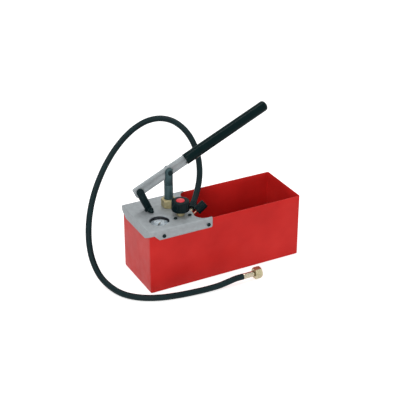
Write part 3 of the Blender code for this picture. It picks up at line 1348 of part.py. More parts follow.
def make_foot_valve():
    low = (FOOT_X - FOOT_LENGTH / 2, PUMP_Y - FOOT_WIDTH / 2, FOOT_BOTTOM)
    high = (FOOT_X + FOOT_LENGTH / 2, PUMP_Y + FOOT_WIDTH / 2, FOOT_TOP)
    body = box("foot_valve_body", low, high, bevel=FOOT_BEVEL)
    above = FOOT_TOP + OVERRUN

    def bore(radius, x, bottom, top):
        drill(body, radius, (x, PUMP_Y, bottom), (x, PUMP_Y, top))

    bore(SPIGOT_RADIUS + RUNNING_GAP, PUMP_X, BARREL_TIP - SEAT_GAP, above)
    bore(CHAMBER_RADIUS, PUMP_X, SUCTION_SEAT, above)
    bore(SEAT_RADIUS, PUMP_X, FOOT_BOTTOM - OVERRUN, above)
    spigot_end = SUCTION_SEAT - SEAT_THICKNESS
    bore(STRAINER_SPIGOT_RADIUS + RUNNING_GAP, PUMP_X, FOOT_BOTTOM - OVERRUN, spigot_end)
    bore(CHAMBER_RADIUS, DELIVERY_X, DELIVERY_SEAT, above)
    gallery = FOOT_BOTTOM + GALLERY_HEIGHT
    bore(SEAT_RADIUS, DELIVERY_X, gallery - GALLERY_RADIUS, above)
    drill(body, GALLERY_RADIUS, (PUMP_X, PUMP_Y, gallery), (DELIVERY_X, PUMP_Y, gallery))
    dress(body, "brass")

    make_ball("suction_ball", PUMP_X, SUCTION_SEAT)
    make_ball("delivery_ball", DELIVERY_X, DELIVERY_SEAT)
    spring_start = BALL_LIFT + BALL_RADIUS + SEAT_GAP
    spring_end = BARREL_TIP - SEAT_GAP
    make_spring("suction_spring", PUMP_X, SUCTION_SEAT + spring_start, spring_end)
    union_tip = FOOT_TOP - UNION_SPIGOT_LENGTH
    make_spring("delivery_spring", DELIVERY_X, DELIVERY_SEAT + spring_start, union_tip - SEAT_GAP)

    at = Vector((DELIVERY_X, PUMP_Y, 0))

    def level(z):
        return at + Vector((0, 0, z))

    hex_low = FOOT_TOP + SEAT_GAP
    hex_high = hex_low + UNION_HEIGHT
    union = rod("delivery_union", across_corners(UNION_ACROSS), level(hex_low), level(hex_high), 6)
    middle = (hex_low + hex_high) / 2
    join(union, rod("union_spigot", CHAMBER_RADIUS - RUNNING_GAP, level(union_tip), level(middle)))
    bore_radius = SPRING_RADIUS - SPRING_WIRE_RADIUS
    drill(union, bore_radius, level(union_tip - OVERRUN), level(hex_high + OVERRUN))
    pipe_seat = level(hex_high - PIPE_SOCKET - SEAT_GAP)
    drill(union, PIPE_RADIUS + RUNNING_GAP, pipe_seat, level(hex_high + OVERRUN))
    dress(union, "brass")

    start = level(hex_high)
    end = Vector((SHUTOFF_X + PIPE_TOP_SHIFT, PIPE_TOP_OFFSET, BLOCK_BOTTOM))
    up = Vector((0, 0, 1))
    reach = (end.z - start.z) / 2
    path = [level(hex_high - PIPE_SOCKET)] + bent_run(start, up, end, up, reach, 14)
    path.append(end + up * PIPE_BLOCK_SOCKET)
    dress(tube("transfer_pipe", path, PIPE_RADIUS, 2), "copper")


def make_strainer():
    flange_top = FOOT_BOTTOM - SEAT_GAP
    flange_low = flange_top - STRAINER_FLANGE
    bottom = flange_top - STRAINER_HEIGHT
    inner = STRAINER_CUP_RADIUS - STRAINER_WALL
    mouth = STRAINER_SPIGOT_RADIUS - STRAINER_WALL
    top = FOOT_BOTTOM + STRAINER_SPIGOT_LENGTH
    profile = [
        (STRAINER_SPIGOT_RADIUS, top),
        (STRAINER_SPIGOT_RADIUS, flange_top),
        (STRAINER_RADIUS, flange_top),
        (STRAINER_RADIUS, flange_low),
        (STRAINER_CUP_RADIUS, flange_low),
        (STRAINER_CUP_RADIUS, bottom),
        (0, bottom),
        (0, bottom + STRAINER_WALL),
        (inner, bottom + STRAINER_WALL),
        (inner, flange_low),
        (mouth, flange_low + STRAINER_WALL),
        (mouth, top),
    ]
    place = Matrix.Translation((PUMP_X, PUMP_Y, 0))
    strainer = turned("suction_strainer", profile, place, 24)
    middle = (bottom + STRAINER_WALL + flange_low) / 2
    half_width = STRAINER_SLOT_WIDTH / 2
    half_height = STRAINER_SLOT_HEIGHT / 2
    reach = STRAINER_CUP_RADIUS + OVERRUN
    low = (inner - OVERRUN, -half_width, -half_height)
    slot = box("strainer_slot", low, (reach, half_width, half_height), CUTTERS)
    places = {}
    for n in range(STRAINER_SLOTS):
        spin = Matrix.Rotation(2 * pi * (n + HALF_STEP_SHARE) / STRAINER_SLOTS, 4, "Z")
        places["strainer_slot_" + str(n)] = Matrix.Translation((PUMP_X, PUMP_Y, middle)) @ spin
    cut(strainer, *copies(slot, places, "brass", CUTTERS))
    dress(strainer, "brass")


def make_hose():
    inner = ELBOW_RADIUS + RUNNING_GAP
    socket = ELBOW_SOCKET + SEAT_GAP
    profile = [
        (0, FERRULE_LENGTH),
        (FERRULE_RADIUS, FERRULE_LENGTH),
        (FERRULE_RADIUS, 0),
        (inner, 0),
        (inner, socket),
        (0, socket),
    ]
    dress(turned("hose_ferrule_pump", profile, aim(FERRULE_BACK, HOSE_OUT), 24), "dark_steel")
    across = Vector((1, 0, 0))
    start = OUTLET_AT + across * ELBOW_STRAIGHT
    reach = (FERRULE_BACK - start).length / 3
    path = [OUTLET_AT - across * ELBOW_GRIP]
    path += bent_run(start, across, FERRULE_BACK, HOSE_OUT, reach, 8)
    path.append(FERRULE_BACK + HOSE_OUT * ELBOW_SOCKET)
    dress(tube("outlet_elbow", path, ELBOW_RADIUS, 2), "brass")
    dress(tube("hose", smooth_route(HOSE_LINE, HOSE_STEP, HOSE_LEAD), HOSE_RADIUS, 4), "black_rubber")


def make_hose_end():
    axis = Vector((1, 0, 0))

    def along(x):
        return aim((x, HOSE_END.y, HOSE_END.z), axis)

    radius = END_FERRULE_RADIUS
    edge = radius / 10
    length = END_FERRULE_LENGTH
    profile = [(0, length), (radius - edge, length), (radius, length - edge)]
    profile += [(radius, edge), (radius - edge, 0), (0, 0)]
    dress(turned("hose_ferrule_end", profile, along(END_FERRULE_X), 24), "brass")

    tail_length = TAIL_FLANGE_X + TAIL_FLANGE_THICKNESS - TAIL_X
    flange_low = TAIL_FLANGE_X - TAIL_X
    profile = [
        (TAIL_FLANGE_RADIUS, tail_length),
        (TAIL_FLANGE_RADIUS, flange_low),
        (TAIL_RADIUS, flange_low),
        (TAIL_RADIUS, 0),
        (TAIL_BORE, 0),
        (TAIL_BORE, tail_length),
    ]
    dress(turned("hose_tail", profile, along(TAIL_X), 24), "brass")

    washer_x = TAIL_FLANGE_X + TAIL_FLANGE_THICKNESS + SEAT_GAP
    ring = [(TAIL_FLANGE_RADIUS, WASHER_THICKNESS), (TAIL_FLANGE_RADIUS, 0)]
    ring += [(TAIL_BORE, 0), (TAIL_BORE, WASHER_THICKNESS)]
    dress(turned("sealing_washer", ring, along(washer_x), 24), "seal_fibre")

    corner = across_corners(NUT_ACROSS)
    shape = bmesh.new()
    bmesh.ops.create_cone(
        shape, cap_ends=True, segments=6, radius1=corner, radius2=corner, depth=NUT_LENGTH
    )
    bmesh.ops.translate(shape, vec=(0, 0, NUT_LENGTH / 2), verts=shape.verts)
    nut = from_bmesh("swivel_nut", shape)
    nut.matrix_world = along(NUT_X) @ Matrix.Rotation(pi / 2, 4, "Z")
    for start, sign in ((0, -1), (NUT_LENGTH, 1)):
        rim = [
            (corner + OVERRUN, start + sign * OVERRUN),
            (corner + OVERRUN, start - sign * (NUT_CHAMFER + OVERRUN)),
            (corner, start - sign * NUT_CHAMFER),
            (corner - 2 * NUT_CHAMFER, start),
            (corner - 2 * NUT_CHAMFER, start + sign * OVERRUN),
        ]
        if sign < 0:
            rim.reverse()
        cut(nut, turned("nut_rim_" + str(sign + 1), rim, along(NUT_X), LARGE_SIDES, CUTTERS))
    hollow = [
        (0, NUT_LENGTH + OVERRUN),
        (NUT_BORE_RADIUS, NUT_LENGTH + OVERRUN),
        (NUT_BORE_RADIUS, NUT_BACK_WALL),
        (TAIL_RADIUS + RUNNING_GAP, NUT_BACK_WALL),
        (TAIL_RADIUS + RUNNING_GAP, -OVERRUN),
        (0, -OVERRUN),
    ]
    cut(nut, turned("nut_hollow", hollow, along(NUT_X), 24, CUTTERS))
    dress(nut, "brass")


def carry_moving_pieces():
    """Parents each group of moving pieces to an empty on its joint's axis."""
    swivel = (NUT_X + NUT_LENGTH / 2, HOSE_END.y, HOSE_END.z)
    groups = {
        "link_axis": (
            LINK_FOOT_AT,
            "link_strap_front",
            "link_strap_back",
            "link_upper_pin",
            "link_pin_clip",
        ),
        "lever_axis": (LINK_TOP_AT, "lever_bar", "lever_grip"),
        "plunger_axis": (
            ROD_PIN_AT,
            "plunger",
            "plunger_fork",
            "fork_roll_pin",
            "rod_pin",
            "rod_pin_clip",
        ),
        "shutoff_axis": (
            (SHUTOFF_X, SHUTOFF_Y, PLATE_TOP),
            "shutoff_spindle",
            "shutoff_knob",
            "shutoff_cap",
        ),
        "release_axis": (RELEASE_AT, "release_spindle", "release_knob"),
        "pointer_axis": ((GAUGE_X, GAUGE_Y, DIAL_TOP), "gauge_pointer"),
        "swivel_axis": (swivel, "swivel_nut"),
    }
    for name, (at, *pieces) in groups.items():
        pivot = add_object(name, None, PARTS)
        pivot.matrix_world = Matrix.Translation(Vector(at))
        bpy.context.view_layer.update()
        for piece in pieces:
            child = bpy.data.objects[piece]
            child.parent = pivot
            child.matrix_parent_inverse = pivot.matrix_world.inverted()


make_tank()
make_cover_plate()
make_flange_fasteners()
make_pump_barrel()
make_plunger()
make_pins()
make_link()
make_lever()
make_valve_block()
make_shutoff_valve()
make_release_valve()
make_gauge()
make_foot_valve()
make_strainer()
make_hose()
make_hose_end()
carry_moving_pieces()


report("lever and link pivot", *LINK_TOP_AT)
report("link and bracket pivot", *LINK_FOOT_AT)
report("plunger axis and pin", *ROD_PIN_AT)
report("shut-off axis", SHUTOFF_X, SHUTOFF_Y)
report("release valve entry and axis", *RELEASE_AT, *RELEASE_ALONG)
report("gauge axis, bezel top, window top", GAUGE_X, GAUGE_Y, BEZEL_TOP, WINDOW_TOP)
report("suction ball, spring's fixed end", PUMP_X, SUCTION_SEAT + BALL_LIFT, BARREL_TIP - SEAT_GAP)
report("delivery ball", DELIVERY_X, DELIVERY_SEAT + BALL_LIFT)
report("delivery spring's fixed end", FOOT_TOP - UNION_SPIGOT_LENGTH - SEAT_GAP)
report("swivel nut from and to", NUT_X, NUT_X + NUT_LENGTH, HOSE_END.y, HOSE_END.z)
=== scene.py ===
# Looks for the hand-operated hydrostatic test pump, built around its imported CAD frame.
# Metres, +Z up, origin under the middle of the tank, the open end of the tank towards +X.

import json
import math

import bmesh
import bpy
from mathutils import Matrix, Vector

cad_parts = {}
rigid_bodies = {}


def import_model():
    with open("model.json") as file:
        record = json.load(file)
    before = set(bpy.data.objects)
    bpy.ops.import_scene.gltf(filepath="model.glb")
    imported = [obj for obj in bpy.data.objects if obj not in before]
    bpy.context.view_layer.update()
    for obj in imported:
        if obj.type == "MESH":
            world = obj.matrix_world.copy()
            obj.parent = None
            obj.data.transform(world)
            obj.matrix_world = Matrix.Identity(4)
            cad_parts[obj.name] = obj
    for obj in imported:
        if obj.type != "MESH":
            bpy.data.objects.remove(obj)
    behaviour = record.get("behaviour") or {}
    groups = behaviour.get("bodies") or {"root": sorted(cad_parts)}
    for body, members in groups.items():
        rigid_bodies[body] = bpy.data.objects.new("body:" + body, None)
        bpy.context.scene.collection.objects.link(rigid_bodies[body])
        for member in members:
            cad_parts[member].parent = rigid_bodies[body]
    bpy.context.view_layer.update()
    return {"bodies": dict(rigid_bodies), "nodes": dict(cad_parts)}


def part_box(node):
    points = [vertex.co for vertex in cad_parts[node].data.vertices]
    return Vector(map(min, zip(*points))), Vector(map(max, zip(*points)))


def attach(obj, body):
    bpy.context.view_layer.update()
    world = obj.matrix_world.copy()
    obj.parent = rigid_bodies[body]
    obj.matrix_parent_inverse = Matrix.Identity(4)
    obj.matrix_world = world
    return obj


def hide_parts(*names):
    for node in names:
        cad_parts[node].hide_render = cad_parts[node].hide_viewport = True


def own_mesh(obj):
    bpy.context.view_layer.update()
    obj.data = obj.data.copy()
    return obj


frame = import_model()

nodes = frame["nodes"]
for old in list(bpy.context.scene.objects):  # the start-up file's own cube, lamp and camera
    if old not in nodes.values() and old not in frame["bodies"].values():
        bpy.data.objects.remove(old, do_unlink=True)
print("frame loaded:", len(nodes), "nodes")


def mm(value):
    return value / 1000


def pick(sizes, *keys):
    return [sizes[key] for key in keys]


# the photograph's own view: azimuth and elevation in degrees, lens and sensor in millimetres
view = {
    "place": (-1.02342, -1.89551, 1.28215), "azimuth": -27.62467, "elevation": 27.62275,
    "lens": 96.435, "sensor": 36.0,
}


def addObject(name, data):
    thing = bpy.data.objects.new(name, data)
    bpy.context.scene.collection.objects.link(thing)
    return thing


def makeCamera():
    data = bpy.data.cameras.new("photoCamera")
    data.lens, data.sensor_width = view["lens"], view["sensor"]
    camera = addObject("photoCamera", data)
    camera.location = view["place"]
    camera.rotation_euler = math.radians(90 - view["elevation"]), 0, math.radians(view["azimuth"])
    bpy.context.scene.camera = camera


makeCamera()
print("camera set")


# Meshes

def addMesh(name, points, faces, smoothAngle=35, uvs=None, weld=0.0):
    # smooth but for edges sharper than the angle; points nearer to each other than weld become one
    mesh = bpy.data.meshes.new(name)
    mesh.from_pydata([tuple(p) for p in points], [], faces)
    if uvs:
        layer = mesh.uv_layers.new(name="surface")
        for loop in mesh.loops:
            layer.data[loop.index].uv = uvs[loop.index]
    shape = bmesh.new()
    shape.from_mesh(mesh)
    if weld:
        bmesh.ops.remove_doubles(shape, verts=shape.verts, dist=weld)
    bmesh.ops.recalc_face_normals(shape, faces=shape.faces)
    shape.to_mesh(mesh)
    shape.free()
    mesh.shade_smooth()
    mesh.set_sharp_from_angle(angle=math.radians(smoothAngle))
    return addObject(name, mesh)


def aim(start, direction):
    # puts the origin at start and turns +Z to the direction
    return Matrix.Translation(Vector(start)) @ Vector(direction).to_track_quat("Z", "Y").to_matrix().to_4x4()


def loft(name, rings, closed=False, place=None, **finer):
    # a skin over rings of equal count; closed joins the last ring to the first, otherwise both ends are filled
    count = len(rings[0])
    points = [place @ Vector(p) if place else Vector(p) for ring in rings for p in ring]
    faces = []
    for i in range(len(rings) if closed else len(rings) - 1):
        j = (i + 1) % len(rings)
        for k in range(count):
            m = (k + 1) % count
            faces.append((i * count + k, i * count + m, j * count + m, j * count + k))
    if not closed:
        faces += [tuple(range(count)), tuple(range(len(points) - count, len(points)))]
    return addMesh(name, points, faces, **finer)


def finishPiece(piece, body, material, slot, *replaced):
    piece.data.materials.append(material)
    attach(piece, body)
    if replaced:
        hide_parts(*replaced)
    return piece


# Hose, a free cord of one smooth run

hose = {
    "diameter": mm(14), "step": mm(4), "sides": 28,
    "from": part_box("valve_block")[1].x,
    "route": [  # in millimetres, x from the valve block's right face
        (26.7, 11.3, 152.4), (32.9, 18.8, 154.9), (39, 25.6, 158.3), (49.3, 37, 166.1), (57, 45.7, 174.4),
        (63.1, 53.1, 183.5), (69.6, 63.2, 198.1), (74.1, 75.2, 217.4), (75.3, 87.4, 236.1),
        (74.1, 100.9, 253.2), (69.8, 118.6, 270.2), (61.2, 139, 284.3), (47.6, 160.2, 293.6),
        (27.2, 180.9, 295.4), (3.3, 195.4, 289.1), (-24.4, 202.3, 275.6), (-52.9, 200.7, 258.2),
        (-82.9, 190.7, 238.1), (-113.6, 172.2, 216.8), (-143.7, 147.5, 193.6), (-169.5, 122.9, 167.9),
        (-189, 100.3, 140.4), (-202, 80.9, 112.3), (-209.5, 62.8, 81.8), (-210.9, 42.9, 50.1),
        (-205.4, 15.8, 22.3), (-193, -22, 8.4), (-177, -60, 7.5), (-150, -87, 7.5), (-115, -104.5, 7.5),
        (-77, -114, 7.5), (-35, -119.5, 7.5), (-4, -121.8, 7.7), (22, -123.2, 9.2), (45, -124, 13),
        (65, -124, 15.8), (81, -124, 15.8),
    ],
}


def smoothRoute(points, step):
    # even steps along a cubic through the points, straight out of both ends
    chords = [b - a for a, b in zip(points, points[1:])]
    knots, slopes = [0.0], [chords[0].normalized()]
    for chord in chords:
        knots.append(knots[-1] + chord.length)
    for before, after in zip(chords, chords[1:]):
        share = before.length / (before.length + after.length)
        slopes.append(before.normalized().lerp(after.normalized(), share))
    slopes.append(chords[-1].normalized())
    count = round(knots[-1] / step)
    route, span = [], 0
    for n in range(count + 1):
        at = knots[-1] * n / count
        while span < len(points) - 2 and at > knots[span + 1]:
            span += 1
        width = chords[span].length
        u = (at - knots[span]) / width
        along = points[span] + chords[span] * (u * u * (3 - 2 * u))
        route.append(along + (slopes[span] * (1 - u) - slopes[span + 1] * u) * (width * u * (1 - u)))
    return route


def sweep(name, route, radius, sides):
    # a round tube along the route, with a frame that doesn't twist, and a UV in metres round and along
    rings, uvs, distances = [], [], [0.0]
    angles = [2 * math.pi * k / sides for k in range(sides)]
    side = (route[1] - route[0]).normalized().orthogonal().normalized()
    for i, at in enumerate(route):
        if i:
            distances.append(distances[-1] + (at - route[i - 1]).length)
        ahead = (route[min(i + 1, len(route) - 1)] - route[max(i - 1, 0)]).normalized()
        side = (side - ahead * side.dot(ahead)).normalized()
        other = ahead.cross(side)
        rings.append([at + (side * math.cos(angle) + other * math.sin(angle)) * radius for angle in angles])
    step = 2 * math.pi * radius / sides
    for low, high in zip(distances, distances[1:]):
        for k in range(sides):
            uvs += [(step * k, low), (step * (k + 1), low), (step * (k + 1), high), (step * k, high)]
    uvs += [(0.0, 0.0)] * (2 * sides)  # the two end faces
    return loft(name, rings, uvs=uvs), distances[-1]


hosePoints = [Vector((hose["from"] + mm(x), mm(y), mm(z))) for x, y, z in hose["route"]]
hoseRoute = smoothRoute(hosePoints, hose["step"])
hosePiece, hoseLength = sweep("test_hose", hoseRoute, hose["diameter"] / 2, hose["sides"])
print("hose laid, length", round(hoseLength, 3))


# Floor, backdrop and light

studio = {
    "floorSize": 14.0, "floorDrop": 0.0002, "floorColour": "#E8E8E8", "worldLevel": 0.46,
    "floorGlow": 0.64,  # the paper's own light as the camera sees it, so that the cast shadow stays soft
    "target": (-0.03, -0.02, 0.12),
    # lamp: power, size, place
    "keyLamp": (19.0, (0.9, 0.9), (-1.45, -1.75, 1.15)),
    "fillLamp": (6.5, (1.2, 1.2), (1.6, -1.4, 0.8)),
    "topLamp": (16.5, (2.2, 0.25), (-0.17, 0.22, 2.0)),  # a long strip, which draws the clear line along the grip
}


def hexToLinear(code):
    # sRGB hex, such as "#C82A28", to linear red, green and blue, and a solid alpha
    channels = [int(code[i:i + 2], 16) / 255 for i in (1, 3, 5)]
    return [c / 12.92 if c <= 0.04045 else ((c + 0.055) / 1.055) ** 2.4 for c in channels] + [1]


def addNode(tree, kind, inputs=None, stops=(), output=0, **settings):
    # one shader node with its settings, colour stops and inputs, each a plain value or another node's
    # output; what comes back is the output asked for
    node = tree.nodes.new("ShaderNode" + kind)
    for key, value in settings.items():
        setattr(node, key, value)
    for key, value in (inputs or {}).items():
        if isinstance(value, bpy.types.NodeSocket):
            tree.links.new(value, node.inputs[key])
        else:
            node.inputs[key].default_value = value
    for n, (at, colour) in enumerate(stops):
        ramp = node.color_ramp.elements
        element = ramp[n] if n < 2 else ramp.new(1.0)
        element.position, element.color = at, hexToLinear(colour)
    return node.outputs[output] if node.outputs else None


def mixSeen(tree, lit, seen, output):
    # seen is for rays from the camera, off metal or gloss, or through glass, and lit for all others
    path = addNode(tree, "LightPath").node.outputs
    direct = path["Is Camera Ray"]
    for ray in ("Is Glossy Ray", "Is Transmission Ray"):
        direct = addNode(tree, "Math", {0: direct, 1: path[ray]}, operation="MAXIMUM")
    addNode(tree, output, {"Surface": addNode(tree, "MixShader", {0: direct, 1: lit, 2: seen})})


def makeFloor():
    half = studio["floorSize"] / 2
    low = -studio["floorDrop"]
    corners = [(-half, -half, low), (half, -half, low), (half, half, low), (-half, half, low)]
    floor = addMesh("studioFloor", corners, [(0, 1, 2, 3)])
    if floor.data.polygons[0].normal.z < 0:
        floor.data.flip_normals()
    material = bpy.data.materials.new("paperSweep")  # matt white paper
    material.use_nodes = True
    tree = material.node_tree
    tree.nodes.clear()
    paper = addNode(tree, "BsdfDiffuse", {"Color": hexToLinear(studio["floorColour"])})
    glow = addNode(tree, "Emission", {"Strength": studio["floorGlow"]})
    mixSeen(tree, paper, addNode(tree, "AddShader", {0: paper, 1: glow}), "OutputMaterial")
    floor.data.materials.append(material)


def makeWorld():
    world = bpy.data.worlds.new("studio")
    world.use_nodes = True
    tree = world.node_tree
    tree.nodes.clear()
    white = (1, 1, 1, 1)
    lit = addNode(tree, "Background", {"Color": white, "Strength": studio["worldLevel"]})
    seen = addNode(tree, "Background", {"Color": white, "Strength": 1.0})
    mixSeen(tree, lit, seen, "OutputWorld")
    bpy.context.scene.world = world


def addLamp(name):
    power, size, place = studio[name]
    data = bpy.data.lights.new(name, "AREA")
    data.energy, data.shape = power, "RECTANGLE"
    data.size, data.size_y = size
    lamp = addObject(name, data)
    lamp.location = place
    lamp.rotation_mode = "QUATERNION"
    lamp.rotation_quaternion = (Vector(studio["target"]) - Vector(place)).to_track_quat("-Z", "Y")


bpy.context.scene.view_settings.view_transform = "Standard"
makeFloor()
makeWorld()
for lamp in ("keyLamp", "fillLamp", "topLamp"):
    addLamp(lamp)
print("studio lit")


# Materials

def realNoise(tree, sizes, detail=2.0, rough=0.5, turn=(0, 0, 0)):
    # noise whose features are as large as the sizes in millimetres, in object space turned by degrees
    sizes = sizes if isinstance(sizes, tuple) else (sizes,) * 3
    where = {
        "Vector": addNode(tree, "TexCoord", output="Object"),
        "Scale": [mm(size) for size in sizes], "Rotation": [math.radians(angle) for angle in turn],
    }
    cell = addNode(tree, "Mapping", where, vector_type="TEXTURE")
    return addNode(tree, "TexNoise", {"Vector": cell, "Scale": 1.0, "Detail": detail, "Roughness": rough}, output="Fac")


def rubbedEdges(tree, width, least, most):
    # 0 on open faces, rising in patches on convex edges, where the rounded normal leaves the true one
    eased = addNode(tree, "Bevel", {"Radius": mm(width)}, samples=4)
    true = addNode(tree, "NewGeometry", output="Normal")
    match = addNode(tree, "VectorMath", {0: eased, 1: true}, output="Value", operation="DOT_PRODUCT")
    edge = {"Value": match, "From Min": 0.995, "From Max": 0.86}
    noise = realNoise(tree, 2.5, 4.0, 0.6)
    patch = {"Value": noise, "From Min": 0.40, "From Max": 0.62, "To Min": least, "To Max": most}
    edge, patch = addNode(tree, "MapRange", edge), addNode(tree, "MapRange", patch)
    return addNode(tree, "Math", {0: edge, 1: patch}, operation="MULTIPLY")


plainSockets = {
    "roughness": "Roughness", "metallic": "Metallic", "specular": "Specular IOR Level",
    "transmission": "Transmission Weight", "ior": "IOR",
}


def makeFinish(name, finish):
    # plain values on the shader's own sockets, then what varies: tone, rubbed edges, gloss and relief
    material = bpy.data.materials.new(name)
    material.use_nodes = True
    tree = material.node_tree
    sockets = tree.nodes["Principled BSDF"].inputs
    shades = finish["shades"]
    sockets["Base Color"].default_value = hexToLinear(shades[1])
    for key, socket in plainSockets.items():
        if key in finish:
            sockets[socket].default_value = finish[key]
    if "tone" in finish:
        stops = zip(finish.get("stops", (0.3, 0.5, 0.72) if len(shades) == 3 else (0.3, 0.7)), shades)
        body = addNode(tree, "ValToRGB", {"Fac": realNoise(tree, *finish["tone"])}, stops)
        if "worn" in finish:
            rubbed = rubbedEdges(tree, *finish["rub"])
            body = addNode(tree, "MixRGB", {"Fac": rubbed, "Color1": body, "Color2": hexToLinear(finish["worn"])})
        tree.links.new(body, sockets["Base Color"])
    if "gloss" in finish:
        least, most = (finish["roughness"] + change for change in finish.get("swing", (-0.06, 0.08)))
        spread = {"From Min": 0.3, "From Max": 0.7, "To Min": least, "To Max": most}
        spread["Value"] = realNoise(tree, *finish["gloss"])
        tree.links.new(addNode(tree, "MapRange", spread), sockets["Roughness"])
    if "relief" in finish:
        bump = {"Strength": finish.get("strength", 0.5), "Distance": mm(finish["depth"])}
        bump["Height"] = realNoise(tree, *finish["relief"])
        tree.links.new(addNode(tree, "Bump", bump), sockets["Normal"])
    return material


def makeMetal(name, finish):
    # machined metal: dull patches in its tone, and tool lines one way in its gloss and relief
    lines = (finish["lines"], 2.0, 0.5, finish.get("turn", (0, 0, 0)))
    return makeFinish(name, dict(finish, tone=(finish["patch"], 4.0, 0.6), gloss=lines, relief=lines))


def makeMoulded(name, finish):
    # moulded plastic or paint: an even colour, a fine grain, edges a touch paler where hands rub
    ways = {"tone": (12, 3.0), "gloss": (9, 3.0), "swing": (-0.04, 0.06), "relief": (finish["grain"],)}
    return makeFinish(name, dict(finish, **ways))


def makeCoat(name, finish):
    # ink, enamel or fibre: a slight change of tone and a fine tooth
    return makeFinish(name, dict(finish, tone=(finish["cloud"], 3.0), relief=(finish["tooth"], 3.0), strength=0.4))


# Shades run from deep over the body colour to light. A pattern is (size in millimetres, detail, roughness, turn),
# and rub is (width in millimetres, least, most). Depths are in millimetres too.

# stove enamel on folded sheet steel, sprayed and baked: an even deep red gloss with a fine orange peel
redEnamel = makeFinish("stoveEnamelRed", {
    "shades": ("#BE2220", "#C92724", "#D12E2A"), "worn": "#D8645C", "rub": (0.7, 0.1, 0.7),
    "roughness": 0.36, "tone": (90, 3.0), "gloss": ((18, 18, 30), 3.0),
    "relief": (1.6, 1.0), "strength": 0.6, "depth": 0.02, "specular": 0.11,
})
# zinc plate on cold-rolled sheet, barrel plated and matt: an even grey with faint blotches and handling marks
zincSheet = makeFinish("zincPlatedSheet", {
    "shades": ("#92989B", "#999FA2", "#A0A6A9"), "stops": (0.32, 0.5, 0.7),
    "roughness": 0.60, "metallic": 0.25, "tone": (9, 4.0, 0.55), "gloss": (9, 4.0, 0.55), "swing": (-0.05, 0.06),
    "relief": ((26, 0.35, 0.35), 2.0, 0.5, (0, 0, 24)), "depth": 0.010,
})
# zinc plate on drawn flat bar: pale grey, with faint lines along the bar
zincBar = makeMetal("zincPlatedBar", {
    "shades": ("#92999C", "#989FA2", "#9EA5A8"), "roughness": 0.52, "metallic": 0.25,
    "lines": (45, 0.5, 0.5), "turn": (0, -24.4, 0), "depth": 0.003, "patch": 22,
})
# zinc plate on small nuts: brighter and finer, as they are tumbled
zincPart = makeMetal("zincPlatedNut", {
    "shades": ("#9CA1A3", "#B4B9BA", "#C8CCCD"), "roughness": 0.36, "metallic": 0.85,
    "lines": 0.5, "depth": 0.008, "patch": 3,
})
# blued and oiled turned steel: dark blue-green, with fine rings round it
bluedSteel = makeMetal("bluedTurnedSteel", {
    "shades": ("#2A4347", "#2E484C", "#334F53"), "worn": "#667C7F", "rub": (0.5, 0.05, 0.8),
    "roughness": 0.42, "metallic": 0.35, "lines": (30, 30, 0.35), "depth": 0.01, "patch": 8,
})
# black oxide on machined steel: near black, a little brighter where it is rubbed
blackOxide = makeMetal("blackOxideSteel", {
    "shades": ("#08191C", "#0B1E21", "#102528"), "worn": "#3C4F53", "rub": (0.5, 0.0, 0.5),
    "roughness": 0.5, "metallic": 0.1, "lines": (6, 6, 0.4), "depth": 0.008, "patch": 5,
    "specular": 0.12,
})
# free-cutting brass, machined and dulled by oil: warm yellow with tool rings and dull patches
brass = makeMetal("turnedBrass", {
    "shades": ("#988C64", "#A99E77", "#B8AE88"), "worn": "#D2C8A6", "rub": (0.5, 0.1, 0.8),
    "roughness": 0.38, "metallic": 0.6, "lines": (25, 25, 0.3), "depth": 0.01, "patch": 6,
})
# the union nut: the same brass, cleaner, with its tool rings across the hose's line
brassNut = makeMetal("turnedBrassNut", {
    "shades": ("#A09675", "#B0A786", "#BCB496"), "worn": "#D2CBB2", "rub": (0.5, 0.1, 0.8),
    "roughness": 0.26, "metallic": 0.84, "lines": (0.35, 25, 25), "depth": 0.004, "patch": 6,
})
# nickel plate on a pressed ferrule: bright and slightly warm
brightFerrule = makeMetal("nickelPlatedFerrule", {
    "shades": ("#A09883", "#AEA691", "#BCB5A1"), "worn": "#CFC9B8", "rub": (0.4, 0.1, 0.8),
    "roughness": 0.24, "metallic": 0.92, "lines": (0.3, 25, 25), "depth": 0.01, "patch": 5,
})
# cast brass, fettled: duller, with a fine sand grain
castBrass = makeMetal("castBrass", {
    "shades": ("#8E7A48", "#A8935C", "#BCA870"), "roughness": 0.45, "metallic": 0.9,
    "lines": 1.2, "depth": 0.05, "patch": 8,
})
# drawn copper tube: reddish, with faint die lines
copper = makeMetal("drawnCopperTube", {
    "shades": ("#835B4B", "#966C5C", "#A87D6B"), "roughness": 0.33, "metallic": 0.95,
    "lines": (20, 20, 0.8), "depth": 0.008, "patch": 10,
})
# drawn spring wire: clean grey, nearly a mirror
springSteel = makeMetal("springWire", {
    "shades": ("#7C8183", "#8F9496", "#A4A9AB"), "roughness": 0.28, "metallic": 0.95,
    "lines": (3, 3, 0.5), "depth": 0.005, "patch": 3,
})
# dipped and polished vinyl: near black, with one long clear highlight
gripPlastic = makeMoulded("dippedVinylGrip", {
    "shades": ("#04181A", "#051C1D"), "worn": "#0E2324", "rub": (0.8, 0.0, 0.5), "roughness": 0.18,
    "grain": 1.5, "depth": 0.003, "specular": 0.06,
})
# phenolic knobs: near black and satin
knobPlastic = makeMoulded("phenolicKnob", {
    "shades": ("#031518", "#04191C"), "worn": "#1B2E31", "rub": (0.4, 0.0, 0.6), "roughness": 0.24,
    "grain": 0.6, "depth": 0.006, "specular": 0.08,
})
# polished ABS cap: bright red
capPlastic = makeMoulded("redAbsCap", {
    "shades": ("#CE2732", "#D62D38"), "worn": "#E06A70", "rub": (0.4, 0.0, 0.6), "roughness": 0.30,
    "grain": 0.8, "depth": 0.005, "specular": 0.4,
})
